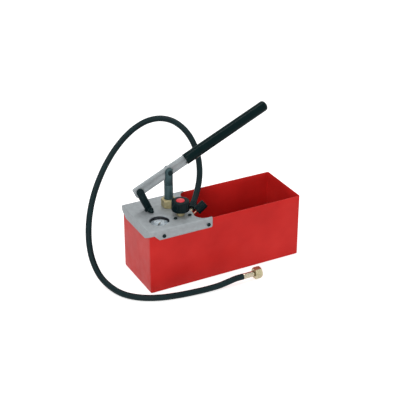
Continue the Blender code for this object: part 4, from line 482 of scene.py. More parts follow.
# painted steel case: satin blue-black
gaugePaint = makeMoulded("gaugeCasePaint", {
    "shades": ("#121722", "#171C28"), "worn": "#454C5C", "rub": (0.4, 0.0, 0.6), "roughness": 0.4,
    "grain": 0.9, "depth": 0.012, "specular": 0.3,
})
# white enamelled tin dial: smooth and slightly blue
dialEnamel = makeCoat("dialEnamel", {
    "shades": ("#C9CDDB", "#CFD3E0"), "roughness": 0.4, "cloud": 6, "tooth": 0.6, "depth": 0.002,
})
# printed black ink: dense and matt
dialInk = makeCoat("dialInk", {
    "shades": ("#131618", "#191C1E"), "roughness": 0.5, "cloud": 2, "tooth": 0.4, "depth": 0.004,
})
# vulcanised red fibre: brown-red and dry, with a short nap
sealFibre = makeCoat("vulcanisedFibre", {
    "shades": ("#6E4332", "#8A5540"), "roughness": 0.75, "cloud": 3, "tooth": 0.8, "depth": 0.03,
})
# flat window glass: clear, with the least smear
windowGlass = makeFinish("flatWindowGlass", {
    "shades": ("#F4FAF8", "#F4FAF8"), "roughness": 0.03, "gloss": (5, 3.0), "swing": (-0.03, 0.0),
    "transmission": 1.0, "ior": 1.46,
})

# textile-reinforced rubber, wrapped and cured in cloth tape: a close weave and a faint wrap line
hoseFinish = {
    "shades": ("#0A1B1E", "#0C2023", "#10272A"), "stops": (0.3, 0.5, 0.7),
    "roughness": 0.5, "tone": (22, 4.0), "gloss": (22, 4.0), "swing": (-0.07, 0.06),
    "weave": 1.1, "weaveTurn": 38, "weaveDepth": 0.05, "wrap": 34, "wrapTurn": 52, "wrapDepth": 0.12,
    "specular": 0.12,
}


def makeHoseRubber(name, finish):
    # the weave is a check and the wrap line a saw wave, both laid out on the UV in metres
    material = makeFinish(name, finish)
    tree = material.node_tree
    cells = []
    for pattern in ("weave", "wrap"):
        size, turn = mm(finish[pattern]), math.radians(finish[pattern + "Turn"])
        where = {"Vector": addNode(tree, "TexCoord", output="UV"), "Scale": (size, size, 1), "Rotation": (0, 0, turn)}
        cells.append(addNode(tree, "Mapping", where, vector_type="TEXTURE"))
    threads = addNode(tree, "TexChecker", {"Vector": cells[0], "Scale": 1.0}, output="Fac")
    weave = addNode(tree, "Bump", {"Height": threads, "Strength": 0.35, "Distance": mm(finish["weaveDepth"])})
    seam = {"Vector": cells[1], "Scale": 1.0, "Distortion": 0.4}
    wrap = addNode(tree, "TexWave", seam, output="Fac", wave_profile="SAW")
    bump = {"Height": wrap, "Normal": weave, "Strength": 0.4, "Distance": mm(finish["wrapDepth"])}
    tree.links.new(addNode(tree, "Bump", bump), tree.nodes["Principled BSDF"].inputs["Normal"])
    return material


hoseRubber = makeHoseRubber("wrappedHoseRubber", hoseFinish)
print("materials mixed:", len(bpy.data.materials))


# Shapes shared by the fittings

def measure(name):
    # a CAD node's low corner, high corner and middle
    low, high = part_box(name)
    return low, high, (low + high) / 2


def turned(degrees):
    return Matrix.Rotation(math.radians(degrees), 4, "Z")


def upright(at, height):
    return Matrix.Translation((at.x, at.y, height))


hexTurn = turned(30)  # brings a hexagon's flats to the x axis


def breakEdges(piece, width, angle):
    # a small rounded break on every edge sharper than the angle
    edge = piece.modifiers.new("edge", "BEVEL")
    edge.width = mm(width)
    edge.segments = 2
    edge.limit_method = "ANGLE"
    edge.angle_limit = math.radians(angle)
    edge.harden_normals = True


def spun(name, rows, place, body, material, slot, *replaced, sides=72, smoothAngle=25, edge=0.0):
    # a finished piece from rows of (radius, height), or of functions of the angle that give them, spun
    # round +Z; a run that starts and ends off the axis closes on itself as a ring
    rings = []
    for row in rows:
        ring = []
        for k in range(sides):
            angle = 2 * math.pi * k / sides
            radius, height = row(angle) if callable(row) else row
            radius = max(radius, 1e-6)
            ring.append((radius * math.cos(angle), radius * math.sin(angle), height))
        rings.append(ring)
    hollow = all(callable(row) or row[0] > 0 for row in (rows[0], rows[-1]))
    piece = loft(name, rings, closed=hollow, place=place, smoothAngle=smoothAngle, weld=mm(0.005))
    if edge:
        breakEdges(piece, edge, 28)
    return finishPiece(piece, body, material, slot, *replaced)


def hexRow(across, height, face=None, up=1):
    # a row round a hexagon's sides; with a face radius it follows the 30 degree chamfer of that face
    def row(angle):
        radius = across / 2 / math.cos(angle % (math.pi / 3) - math.pi / 6)
        drop = max(radius - face, 0) * math.tan(math.radians(30)) if face else 0
        return radius, height - up * drop
    return row


def threadRows(outer, inner, pitch, low, high, perTurn=6):
    # rows up a screw thread, which fades in and out over half a turn
    count = max(2, round((high - low) / pitch * perTurn))

    def row(height):
        def at(angle):
            crest = 1 - abs(2 * ((height / pitch - angle / (2 * math.pi)) % 1.0) - 1)
            fade = min(1, (height - low) / (pitch / 2), (high - height) / (pitch / 2))
            return outer + (inner - outer) * max(0, fade) * crest, height
        return at
    return [row(low + (high - low) * n / count) for n in range(count + 1)]


def ribRow(radius, height, ribs, depth, share=1.0):
    # a row round a ribbed knob: flat-topped ribs with narrow round grooves
    def row(angle):
        groove = max(0.0, 1 - abs(angle * ribs / (2 * math.pi) % 1.0 - 0.5) / 0.26)
        return radius - depth * share * (1 - (1 - groove) ** 2), height
    return row


def headRows(screw):
    # a button head with a round-bottomed socket, from its middle out and down to its underside
    radius, height, socket, deep = pick(screw, "head", "height", "socket", "deep")
    return [
        (0, height - deep * 1.25), (socket * 0.55, height - deep), (socket, height - deep),
        (socket, height - mm(0.15)), (socket + mm(0.2), height), (radius * 0.62, height * 0.97),
        (radius * 0.84, height * 0.74), (radius * 0.97, height * 0.36), (radius, height * 0.14), (radius * 0.985, 0),
    ]


def makeNut(name, nut, place, material, slot, replaced):
    # a hexagon nut, chamfered on both faces, with a threaded bore; its lower face is at the place
    across, height, bore, pitch = pick(nut, "across", "height", "bore", "pitch")
    face, mouth = across / 2 * nut["faceShare"], bore + pitch * 0.5
    rows = [(mouth, 0), (face, 0), hexRow(across, 0, face, -1), hexRow(across, height, face)]
    rows += [(face, height), (mouth, height)]
    rows += threadRows(bore, bore + pitch * 0.425, pitch, mm(0.4), height - mm(0.4))[::-1]
    spun(name, rows, place @ hexTurn, "base", material, slot, replaced, edge=nut["edge"])


# CAD nodes that stay: each gets its finish, and machined edges get a small break

keptNodes = [
    # material, then its nodes with their edge break in millimetres
    (zincSheet, {"cover_plate": 0.35}),
    (zincBar, {"lever_bar": 0.5}),
    (blackOxide, {"link_bracket": 0.4, "link_strap_front": 0.9, "link_strap_back": 0.9, "fork_roll_pin": 0.1}),
    (bluedSteel, {"plunger": 0.3, "plunger_fork": 0.6, "shutoff_spindle": 0.2}),
    (brass, {
        "pump_cylinder": 0.4, "delivery_union": 0.4, "suction_strainer": 0.2, "release_bonnet": 0.3,
        "gauge_movement": 0.3, "gauge_stem": 0.3, "hose_tail": 0.3,
    }),
    (castBrass, {"valve_block": 0.5, "foot_valve_body": 0.5}),
    (copper, {"transfer_pipe": 0, "release_spindle": 0.2}),
    (springSteel, {"suction_ball": 0, "delivery_ball": 0}),
    (brightFerrule, {"outlet_elbow": 0}),
    (gaugePaint, {"gauge_case": 0.4}),
    (sealFibre, {"gland_packing": 0.2, "sealing_washer": 0.25}),
]


def finishNode(node, material, width):
    node.data.materials.clear()
    node.data.materials.append(material)
    if width:
        weld = node.modifiers.new("weld", "WELD")
        weld.merge_threshold = 1e-5
        flat = node.modifiers.new("flat", "DECIMATE")  # the CAD faces whole again, so that only real edges break
        flat.decimate_type = "DISSOLVE"
        flat.angle_limit = math.radians(0.5)
        breakEdges(node, width, 30)
        node.data.shade_smooth()


for material, widths in keptNodes:
    for name, width in widths.items():
        finishNode(nodes[name], material, width)
finishPiece(hosePiece, "base", hoseRubber, "black_rubber", "hose")
print("CAD nodes finished:", sum(len(widths) for material, widths in keptNodes))


# Tank: one sheet folded up, with a small radius at every fold and a dressed rim

tank = {
    "wall": mm(1.5), "corner": mm(3.0), "foldRadius": mm(2.2), "rimBreak": mm(0.45),
    "cornerSteps": 8, "wallSteps": 12, "levels": 9,
    "bow": mm(0.35),  # how far the long walls stand proud of flat between the folds
}


def roundedBox(lengthHalf, widthHalf, corner, height, bow):
    # a rounded rectangle; extra points along the walls carry a slight bow
    def point(i, degrees):
        sx, sy = ((1, 1), (-1, 1), (-1, -1), (1, -1))[i % 4]
        angle = math.radians(degrees)
        x, y = sx * (lengthHalf - corner), sy * (widthHalf - corner)
        return Vector((x + corner * math.cos(angle), y + corner * math.sin(angle), height))

    points = []
    for i in range(4):
        start, end = 90 * i, 90 * i + 90
        points += [point(i, start + 90 * n / tank["cornerSteps"]) for n in range(tank["cornerSteps"] + 1)]
        last, goal = points[-1], point(i + 1, end)
        out = Vector((math.cos(math.radians(end)), math.sin(math.radians(end)), 0))
        for n in range(1, tank["wallSteps"]):
            share = n / tank["wallSteps"]
            points.append(last.lerp(goal, share) + out * bow * math.sin(math.pi * share) ** 2)
    return points


def makeTank():
    low, high, at = measure("tank")
    half, side, top = (high.x - low.x) / 2, (high.y - low.y) / 2, high.z
    wall, corner, fold, rim = pick(tank, "wall", "corner", "foldRadius", "rimBreak")
    inner, innerFold = corner - wall, fold - wall * 0.4
    quarter = [math.radians(15 * n) for n in range(7)]
    lips = [(0, rim), (rim * 0.3, rim * 0.3), (rim, 0)]  # how far in and how far down, over the rim
    walls = []
    for n in range(1, tank["levels"]):
        height = fold + (top - rim - fold) * n / tank["levels"]
        walls.append((height, -tank["bow"] * math.sin(math.pi * (height - fold) / (top - fold) * 0.8)))
    # rows of inset, corner radius, height and bow: up the outside, over the rim and down the inside
    rows = [(fold * (1 - math.sin(turn)), corner, fold * (1 - math.cos(turn)), 0) for turn in quarter]
    rows += [(0, corner, height, bow) for height, bow in walls]
    rows += [(into, corner, top - down, 0) for into, down in lips]
    rows += [(wall - into, inner + into, top - down, 0) for into, down in lips[::-1]]
    rows += [(wall, inner, height, bow) for height, bow in walls[::-1]]
    for turn in quarter:
        into, rise = innerFold * (1 - math.cos(turn)), innerFold * (1 - math.sin(turn))
        rows.append((wall + into, inner, wall + rise, 0))
    rings = [roundedBox(half - inset, side - inset, radius, height, bow) for inset, radius, height, bow in rows]
    piece = loft("tank_shell", rings, smoothAngle=40, place=upright(at, low.z))
    finishPiece(piece, "base", redEnamel, "red_enamel", "tank")


makeTank()
print("tank folded")


# Screws through the flanges and nuts inside them, and the socket screws that hold the valve block

flangeScrew = {
    "head": mm(4.3), "height": mm(3.0), "socket": mm(1.5), "deep": mm(1.7), "shank": mm(2.5), "pitch": mm(0.8),
}
flangeNut = {"across": mm(8), "height": mm(4), "bore": mm(2.55), "pitch": mm(0.8), "edge": 0.1, "faceShare": 0.97}
blockScrew = {"head": mm(4.4), "height": mm(2.6), "socket": mm(1.6), "deep": mm(1.5), "shank": mm(2.5)}


def makeFlangeFasteners(corner):
    side = -1 if "front" in corner else 1
    name = "flange_screw_" + corner
    low, high, at = measure(name)
    at.y = (low.y if side < 0 else high.y) - side * flangeScrew["height"]
    length = high.y - low.y - flangeScrew["height"]
    shank, pitch = flangeScrew["shank"], flangeScrew["pitch"]
    thread = threadRows(shank, shank - pitch * 0.45, pitch, mm(0.5) - length, -mm(1.2))
    rows = headRows(flangeScrew) + [(shank, 0)] + thread[::-1] + [(shank - mm(0.5), -length), (0, -length)]
    spun(name + "_dressed", rows, aim(at, (0, side, 0)), "base", blackOxide, "dark_steel", name, sides=36)
    name = "flange_nut_" + corner
    low, high, at = measure(name)
    at.y = low.y if side > 0 else high.y
    makeNut(name + "_dressed", flangeNut, aim(at, (0, side, 0)), zincPart, "zinc_bar", name)


def makeBlockScrew(name):
    low, high, at = measure(name)
    seat = high.z - blockScrew["height"]
    length, shank, tip = seat - low.z, blockScrew["shank"], mm(0.4)
    rows = headRows(blockScrew) + [(shank, 0), (shank, tip - length), (shank - tip, -length), (0, -length)]
    spun(name + "_dressed", rows, upright(at, seat), "base", blackOxide, "dark_steel", name, sides=36)


for corner in ("front_left", "front_right", "back_left", "back_right"):
    makeFlangeFasteners(corner)
makeBlockScrew("block_screw_left")
makeBlockScrew("block_screw_right")
print("screws set")


# Gland nut round the plunger: a tall hexagon with a turned collar at its top

glandNut = {
    "across": mm(30), "faceShare": 0.985, "lip": mm(1.2), "lipRadius": mm(13.4), "bore": mm(10.3), "counter": mm(13.3),
}


def makeGlandNut():
    low, high, at = measure("gland_nut")
    across, collar, bore, counter = pick(glandNut, "across", "lipRadius", "bore", "counter")
    height, face = high.z - low.z, across / 2 * glandNut["faceShare"]
    shoulder = height - glandNut["lip"]
    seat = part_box("gland_packing")[1].z - low.z + mm(0.3)
    rows = [(counter, 0), (face, 0), hexRow(across, 0, face, -1), hexRow(across, shoulder, face)]
    rows += [(collar + mm(0.6), shoulder), (collar, shoulder + mm(0.2)), (collar, height - mm(0.5))]
    rows += [(collar - mm(0.5), height), (bore + mm(0.8), height), (bore, height - mm(0.8))]
    rows += [(bore, seat), (counter, seat)]
    spun("gland_nut_dressed", rows, upright(at, low.z) @ hexTurn, "base", brass, "brass", "gland_nut", edge=0.25)


makeGlandNut()


# Pins: the clevis pin through the fork, the pin at the top of the link, and their spring clips

clevisPin = {"head": mm(5.6), "height": mm(2.4), "radius": mm(4.0), "groove": mm(0.5), "chamfer": mm(0.6)}
topPin = {"head": mm(4.8), "height": mm(1.6), "radius": mm(3.5), "groove": mm(0.5), "chamfer": mm(0.6)}
springClip = {"thick": mm(0.9), "gap": math.radians(70), "steps": 40, "ease": mm(0.05)}


def makePinAndClip(name, clip, pin, body):
    clipLow, clipHigh, clipAt = measure(clip)
    low, high, at = measure(name)
    at.y = low.y + pin["height"]
    head, height, radius, tip = pick(pin, "head", "height", "radius", "chamfer")
    length, waist, ease = high.y - at.y, radius - pin["groove"], springClip["ease"]
    upper, lower = at.y - clipLow.y + ease, at.y - clipHigh.y - ease
    rows = [(0, height * 0.86), (head * 0.22, height * 0.86), (head * 0.3, height), (head * 0.72, height)]
    rows += [(head * 0.93, height * 0.78), (head, height * 0.5), (head, mm(0.2)), (head - mm(0.2), 0)]
    rows += [(radius, 0), (radius, upper), (waist, upper), (waist, lower), (radius, lower)]
    rows += [(radius, tip - length), (radius - tip, -length), (0, -length)]
    spun(name + "_dressed", rows, aim(at, (0, -1, 0)), body, blackOxide, "dark_steel", name, sides=48)

    # the clip: an open ring of flat spring strip that snaps into the pin's groove
    inner, outer = waist + ease, (clipHigh.x - clipLow.x) / 2
    half, gap = Vector((0, springClip["thick"] / 2, 0)), springClip["gap"]
    rings = []
    for n in range(springClip["steps"] + 1):
        share = n / springClip["steps"]
        angle = gap / 2 + (2 * math.pi - gap) * share
        swell = 1 + 0.25 * math.cos(6 * math.pi * share) ** 8
        far = inner + (outer - inner) * min(1, swell * 0.8)
        across = Vector((math.cos(angle), 0, math.sin(angle)))
        near, far = clipAt + across * inner, clipAt + across * far
        rings.append([near - half, far - half, far + half, near + half])
    finishPiece(loft(clip + "_dressed", rings), body, springSteel, "dark_steel", clip)


makePinAndClip("rod_pin", "rod_pin_clip", clevisPin, "plunger")
makePinAndClip("link_upper_pin", "link_pin_clip", topPin, "link")


# Foot of the link: a bolt through bracket and straps, its thread showing past the nut, and the bracket's own nut

footBolt = {
    "radius": mm(3.5), "across": mm(11.5), "faceShare": 0.95, "head": mm(5.0), "pitch": mm(1.0), "threadDeep": mm(0.55),
}
footNut = {"across": mm(11.5), "height": mm(7.5), "bore": mm(3.6), "pitch": mm(1.0), "edge": 0.2, "faceShare": 0.95}
bracketNut = {"across": mm(10), "bore": mm(3.1), "pitch": mm(1.0), "edge": 0.15, "faceShare": 0.97}


def makeFootBolt():
    low, high, at = measure("link_lower_pin")
    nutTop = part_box("link_pin_nut")[1].y
    across, radius, head, tip = footBolt["across"], footBolt["radius"], footBolt["head"], mm(0.8)
    face, seat = across / 2 * footBolt["faceShare"], high.y - head
    length, shank = seat - low.y, seat - nutTop
    rows = [(0, -head), (face, -head), hexRow(across, -head, face, -1), hexRow(across, 0), (radius, 0), (radius, shank)]
    rows += threadRows(radius, radius - footBolt["threadDeep"], footBolt["pitch"], shank + mm(0.3), length - tip)
    rows += [(radius - tip, length), (0, length)]
    place = aim((at.x, seat, at.z), (0, -1, 0)) @ hexTurn
    spun("link_bolt_dressed", rows, place, "base", blackOxide, "ground_steel", "link_lower_pin")
    place = aim((at.x, nutTop, at.z), (0, -1, 0))
    makeNut("link_nut_dressed", footNut, place, blackOxide, "dark_steel", "link_pin_nut")
    low, high, at = measure("bracket_nut")
    nut = dict(bracketNut, height=high.z - low.z)
    makeNut("bracket_nut_dressed", nut, upright(at, low.z), zincPart, "zinc_bar", "bracket_nut")


makeFootBolt()
print("pins and bolts in")


# Grip: a long vinyl sleeve dipped over the bar, a little slimmer and domed at its free end

grip = {
    "radius": mm(12.5), "endRadius": mm(12.2), "nose": mm(8.0), "length": mm(225.5), "mouth": mm(1.4),
    "angle": math.radians(24.4), "start": mm(124.5), "rise": mm(1.0), "slot": mm(6.2), "slotDeep": mm(3.0),
}


def makeGrip():
    pivot = measure("link_upper_pin")[2]
    pivot.y = measure("lever_bar")[2].y
    along = Vector((math.cos(grip["angle"]), 0, math.sin(grip["angle"])))
    start = pivot + along * grip["start"] + Vector((-along.z, 0, along.x)) * grip["rise"]
    big, small, nose, mouth, slot, deep = pick(grip, "radius", "endRadius", "nose", "mouth", "slot", "slotDeep")
    body = grip["length"] - nose
    rows = [(0, deep), (slot, deep), (slot, mm(0.5)), (slot + mm(0.7), 0), (big - mouth, 0)]
    rows += [(big - mouth * 0.3, mouth * 0.3), (big, mouth)]
    rows += [(big + (small - big) * n / 12, mouth + (body - mouth) * n / 12) for n in range(1, 13)]
    quarter = [math.radians(9 * n) for n in range(1, 10)]
    rows += [(small * math.cos(turn) ** 0.9, body + nose * math.sin(turn)) for turn in quarter] + [(0, body + nose)]
    spun(
        "lever_grip_dressed", rows, aim(start, along), "lever", gripPlastic, "black_plastic", "lever_grip",
        sides=64, smoothAngle=40,
    )


makeGrip()
print("grip dipped")


# Shut-off valve: a hexagon bonnet screwed through the plate, and a ribbed knob with a coloured cap

bonnet = {
    "across": mm(16), "faceShare": 0.96, "hexHeight": mm(7.4), "spigot": mm(7.0), "neck": mm(5.5),
    "bore": mm(3.8), "edge": mm(0.5), "seatGap": mm(0.3),
}
shutoffKnob = {
    "radius": mm(20), "ribs": 18, "ribDepth": mm(0.8), "sides": 180, "topEdge": mm(2.2), "lowEdge": mm(1.2),
    "recess": mm(9.8), "recessDepth": mm(1.6), "bore": mm(3.7), "boss": mm(7.5), "dish": mm(1.2),
}
releaseKnob = {
    "radius": mm(10), "ribs": 12, "ribDepth": mm(0.6), "sides": 144, "topEdge": mm(1.6), "lowEdge": mm(0.8),
    "recess": 0, "bore": mm(2.9), "boss": mm(4.8), "dish": mm(0.8),
    "length": mm(24.9), "socket": mm(9.2), "tilt": math.radians(36),
}


def makeBonnet():
    low, high, at = measure("shutoff_bonnet")
    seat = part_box("cover_plate")[1].z + bonnet["seatGap"]
    top, base, end = seat + bonnet["hexHeight"], low.z, high.z
    across, edge, bore, spigot, neck = pick(bonnet, "across", "edge", "bore", "spigot", "neck")
    face = across / 2 * bonnet["faceShare"]
    rows = [(bore, base), (spigot - edge, base), (spigot, base + edge), (spigot, seat), (face, seat)]
    rows += [hexRow(across, seat, face, -1), hexRow(across, top, face), (face, top), (neck + edge, top)]
    rows += [(neck, top + edge), (neck, end - edge), (neck - edge, end), (bore + edge, end), (bore, end - edge)]
    spun("shutoff_bonnet_dressed", rows, upright(at, 0) @ hexTurn, "base", brass, "brass", "shutoff_bonnet", edge=0.15)


def makeKnob(name, knob, place, height, boreDepth, body):
    radius, ribs, depth, recess = pick(knob, "radius", "ribs", "ribDepth", "recess")
    topEdge, lowEdge, dish, boss = pick(knob, "topEdge", "lowEdge", "dish", "boss")
    if recess:
        floor = height - knob["recessDepth"]
        rows = [(0, floor), (recess, floor), (recess, height - mm(0.3)), (recess + mm(0.3), height)]
    else:
        rows = [(0, height - mm(0.5)), (radius * 0.45, height - mm(0.4)), (radius * 0.6, height)]
    for n in range(7):
        across, rise = math.sin(math.radians(15 * n)), math.cos(math.radians(15 * n))
        rows.append(ribRow(radius - topEdge * (1 - across), height - topEdge * (1 - rise), ribs, depth, across ** 2))
    rows.append(ribRow(radius, height * 0.5, ribs, depth))
    for n in range(5):
        across, rise = math.cos(math.radians(22.5 * n)), math.sin(math.radians(22.5 * n))
        rows.append(ribRow(radius - lowEdge * (1 - across), lowEdge * (1 - rise), ribs, depth, across ** 2))
    rows += [(radius * 0.88, 0), (radius * 0.86, dish), (boss + mm(0.4), dish), (boss, dish - mm(0.4)), (boss, 0)]
    rows += [(knob["bore"], 0), (knob["bore"], boreDepth), (0, boreDepth)]
    spun(name + "_ribbed", rows, place, body, knobPlastic, "black_plastic", name, sides=knob["sides"], smoothAngle=32)


def makeKnobs():
    low, high, at = measure("shutoff_knob")
    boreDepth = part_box("shutoff_spindle")[1].z + mm(0.3) - low.z
    makeKnob("shutoff_knob", shutoffKnob, upright(at, low.z), high.z - low.z, boreDepth, "shutoff")
    low, high, at = measure("shutoff_cap")
    radius, top, base = (high.x - low.x) / 2, high.z, low.z
    rows = [(0, top), (radius * 0.5, top - mm(0.05)), (radius * 0.84, top - mm(0.25)), (radius * 0.95, top - mm(0.6))]
    rows += [(radius, top - mm(1.1)), (radius, base + mm(0.2)), (radius - mm(0.3), base), (0, base)]
    spun("shutoff_cap_domed", rows, upright(at, 0), "shutoff", capPlastic, "red_plastic", "shutoff_cap")
    tilt, length = releaseKnob["tilt"], releaseKnob["length"]
    axis = Vector((math.cos(tilt), 0, math.sin(tilt)))
    place = aim(measure("release_knob")[2] - axis * length / 2, axis)
    makeKnob("release_knob", releaseKnob, place, length, releaseKnob["socket"], "release")


makeBonnet()
makeKnobs()
print("valves dressed")


# Pressure gauge under the plate: bezel, window, dial with its scale, and the pointer

gauge = {
    "bezelInner": mm(21.5), "windowEdge": mm(0.4), "dialHole": mm(1.3), "dialRim": mm(0.35),
    "start": 225, "range": 270, "most": 60, "numberEvery": 10, "tickEvery": 2, "arcSteps": 54,
    "tickOuter": mm(18.8), "longTick": mm(3.2), "shortTick": mm(1.8), "longWidth": mm(0.55), "shortWidth": mm(0.3),
    "numberRadius": mm(13.0), "numberSize": mm(3.6), "arcWidth": mm(0.3), "inkRise": mm(0.03),
    "pointerRise": mm(1.55),
    "pointerHalf": [  # along the blade and out from its middle, in millimetres
        (15.5, 0.08), (10.0, 0.38), (3.2, 0.72), (2.1, 1.0), (1.2, 1.75), (-0.4, 2.1), (-1.7, 1.3),
        (-2.6, 0.75), (-4.2, 0.62), (-4.7, 0.95), (-5.3, 0.85), (-5.5, 0.45),
    ],
}
dialLow, dialHigh, dialAt = measure("gauge_dial")
dialFace = dialHigh.z
dialAxis = upright(dialAt, 0)


def makeGaugeFace():
    low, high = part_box("gauge_bezel")
    inner, outer, top = gauge["bezelInner"], (high.x - low.x) / 2, high.z
    rows = [(inner, low.z), (outer, low.z), (outer, top - mm(0.8)), (outer - mm(0.3), top - mm(0.25))]
    rows += [(outer - mm(0.9), top), (inner + mm(1.1), top), (inner + mm(0.4), top - mm(0.3)), (inner, top - mm(1.0))]
    spun("gauge_bezel_turned", rows, dialAxis, "base", gaugePaint, "black_case", "gauge_bezel")
    low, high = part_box("gauge_window")
    radius, edge = (high.x - low.x) / 2, gauge["windowEdge"]
    rows = [(0, high.z), (radius - edge, high.z), (radius, high.z - edge)]
    rows += [(radius, low.z + edge), (radius - edge, low.z), (0, low.z)]
    spun("gauge_window_pane", rows, dialAxis, "base", windowGlass, "clear_glass", "gauge_window")
    radius, rim, hole = (dialHigh.x - dialLow.x) / 2, gauge["dialRim"], gauge["dialHole"]
    rows = [(hole, dialFace), (radius - rim, dialFace), (radius, dialFace - rim)]
    rows += [(radius, dialLow.z), (hole, dialLow.z)]
    spun("gauge_dial_plate", rows, dialAxis, "base", dialEnamel, "white_enamel", "gauge_dial")


def dialPoint(value, radius, height=dialFace):
    angle = math.radians(gauge["start"] - gauge["range"] * value / gauge["most"])
    return Vector((dialAt.x + radius * math.cos(angle), dialAt.y + radius * math.sin(angle), height))


def makeGaugeMarks():
    # ticks, arc and numbers, a thin print on the dial
    points, faces = [], []
    ink, outer, most = pick(gauge, "inkRise", "tickOuter", "most")

    def addPrism(outline):
        first, count = len(points), len(outline)
        for height in (dialFace + ink, dialFace + ink * 0.2):
            points.extend(Vector((p.x, p.y, height)) for p in outline)
        faces.append(tuple(range(first, first + count)))
        faces.append(tuple(reversed(range(first + count, first + 2 * count))))
        for k in range(count):
            m = (k + 1) % count
            faces.append((first + k, first + count + k, first + count + m, first + m))

    for value in range(0, most + 1, gauge["tickEvery"]):
        kind = "short" if value % gauge["numberEvery"] else "long"
        far, near = dialPoint(value, outer), dialPoint(value, outer - gauge[kind + "Tick"])
        side = (far - near).cross(Vector((0, 0, 1))).normalized() * gauge[kind + "Width"] / 2
        addPrism([near - side, near + side, far + side, far - side])
    values = [most * n / gauge["arcSteps"] for n in range(gauge["arcSteps"] + 1)]
    arc = [dialPoint(value, outer + gauge["arcWidth"]) for value in values]
    addPrism(arc + [dialPoint(value, outer) for value in values[::-1]])
    for value in range(0, most + 1, gauge["numberEvery"]):
        words = bpy.data.curves.new("number", "FONT")
        words.body = str(value)
        words.size = gauge["numberSize"]
        words.align_x, words.align_y = "CENTER", "CENTER"
        words.resolution_u = 3
        words.extrude = ink * 0.4
        holder = bpy.data.objects.new("number", words)
        shape = bpy.data.meshes.new_from_object(holder)
        first, place = len(points), dialPoint(value, gauge["numberRadius"], dialFace + ink * 0.6)
        points.extend(place + v.co for v in shape.vertices)
        faces.extend(tuple(first + i for i in poly.vertices) for poly in shape.polygons)
        bpy.data.objects.remove(holder)
    finishPiece(addMesh("gauge_dial_print", points, faces), "base", dialInk, "black_case")


def makePointer():
    half = [(mm(x), mm(y)) for x, y in gauge["pointerHalf"]]
    outline = half + [(x, -y) for x, y in half[::-1]]
    turn = dialAxis @ turned(gauge["start"])
    top, bottom = dialFace + gauge["pointerRise"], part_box("gauge_pointer")[0].z
    rings = [[(x, y, height) for x, y in outline] for height in (top, top - mm(0.45))]
    blade = loft("gauge_pointer_blade", rings, place=turn)
    finishPiece(blade, "pointer", dialInk, "black_case", "gauge_pointer")
    rows = [(0, top + mm(0.35)), (mm(0.7), top + mm(0.3)), (mm(1.4), top), (mm(1.4), top - mm(0.5))]
    rows += [(mm(0.9), top - mm(0.6)), (mm(0.9), bottom), (0, bottom)]
    spun("gauge_pointer_hub", rows, turn, "pointer", brass, "brass", sides=32)


makeGaugeFace()
makeGaugeMarks()
makePointer()
print("gauge dressed")


# Valve springs in the foot valve: ground ends closed, open turns between

valveSpring = {
    "radius": mm(2.6), "wire": mm(0.4), "turns": 5.5, "closed": 0.9, "sides": 10, "perTurn": 20, "lift": mm(2),
}


def makeSpring(name):
    low, high, at = measure(name)
    radius, wire, turns, closed = pick(valveSpring, "radius", "wire", "turns", "closed")
    steps, rest = round(turns * valveSpring["perTurn"]), wire * 2.1 * closed
    bottom, top = low.z + wire, high.z - wire
    route = []
    for n in range(steps + 1):
        turn = turns * n / steps
        if turn < closed:
            height = bottom + rest * turn / closed
        elif turn > turns - closed:
            height = top - rest * (turns - turn) / closed
        else:
            height = bottom + rest + (top - bottom - 2 * rest) * (turn - closed) / (turns - 2 * closed)
        angle = 2 * math.pi * turn
        route.append(Vector((at.x + radius * math.cos(angle), at.y + radius * math.sin(angle), height)))
    piece = sweep(name + "_coil", route, wire, valveSpring["sides"])[0]
    finishPiece(piece, "base", springSteel, "spring_steel", name)
    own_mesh(piece)


makeSpring("suction_spring")
makeSpring("delivery_spring")


# Hose ends: crimped ferrules, and the swivel nut that takes the pipework under test

pumpFerrule = {"radius": mm(8.5), "length": mm(20), "crimps": 3, "crimpDepth": mm(0.5), "lip": mm(0.8)}
endFerrule = {"crimps": 2, "crimpDepth": mm(0.1), "lip": mm(0.6)}
swivelNut = {
    "across": mm(24), "face": mm(11.4), "backWall": mm(3.0), "backBore": mm(5.0), "bore": mm(9.3),
    "pitch": mm(1.8), "threadDeep": mm(0.8), "threadLength": mm(10), "mouth": mm(0.9),
}


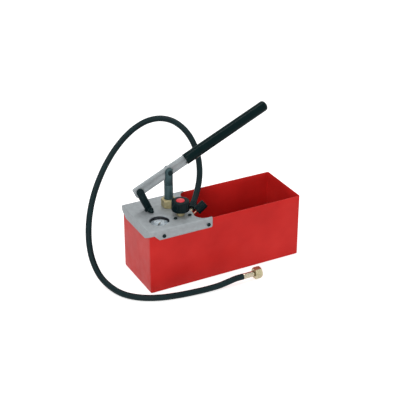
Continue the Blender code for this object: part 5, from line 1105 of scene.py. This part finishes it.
def makeFerrule(name, ferrule, start, direction, material, slot):
    radius, length, lip, crimps = pick(ferrule, "radius", "length", "lip", "crimps")
    rows = [(0, 0), (radius - lip, 0), (radius - lip * 0.3, lip * 0.3), (radius, lip)]
    span = (length - 2 * lip) / (crimps * 2 + 1)
    for n in range(crimps):
        near = lip + span * (2 * n + 1)
        for share in (0.0, 0.12, 0.3, 0.5, 0.7, 0.88, 1.0):
            rows.append((radius - ferrule["crimpDepth"] * math.sin(math.pi * share) ** 0.7, near + span * share))
    rows += [(radius, length - lip), (radius - lip * 0.3, length - lip * 0.3), (radius - lip, length), (0, length)]
    return spun(name + "_crimped", rows, aim(start, direction), "base", material, slot, name, sides=56, smoothAngle=40)


def makePumpFerrule():
    direction = (hoseRoute[1] - hoseRoute[0]).normalized()
    start = measure("hose_ferrule_pump")[2] - direction * pumpFerrule["length"] / 2
    makeFerrule("hose_ferrule_pump", pumpFerrule, start, direction, blackOxide, "dark_steel")


def makeEndFerrule():
    low, high, at = measure("hose_ferrule_end")
    ferrule = dict(endFerrule, length=high.x - low.x, radius=(high.y - low.y) / 2)
    return makeFerrule("hose_ferrule_end", ferrule, (low.x, at.y, at.z), (1, 0, 0), brightFerrule, "brass")


def makeSwivelNut():
    low, high, at = measure("swivel_nut")
    across, face, bore, mouth, back = pick(swivelNut, "across", "face", "bore", "mouth", "backBore")
    length, wall = high.x - low.x, swivelNut["backWall"]
    rows = [(back, 0), (face, 0), hexRow(across, 0, face, -1), hexRow(across, length, face)]
    rows += [(face, length), (bore + mouth, length), (bore, length - mouth)]
    deep, shallow = length - swivelNut["threadLength"], length - mouth - mm(0.2)
    rows += threadRows(bore, bore + swivelNut["threadDeep"], swivelNut["pitch"], deep, shallow)[::-1]
    rows += [(bore, wall), (back, wall)]
    place = aim((low.x, at.y, at.z), (1, 0, 0))
    return spun("swivel_nut_turned", rows, place, "swivel", brassNut, "brass", "swivel_nut", sides=90, edge=0.3)


makePumpFerrule()
farEndPieces = [makeEndFerrule(), nodes["hose_tail"], nodes["sealing_washer"], makeSwivelNut()]
print("hose ends dressed")


print("scene built")
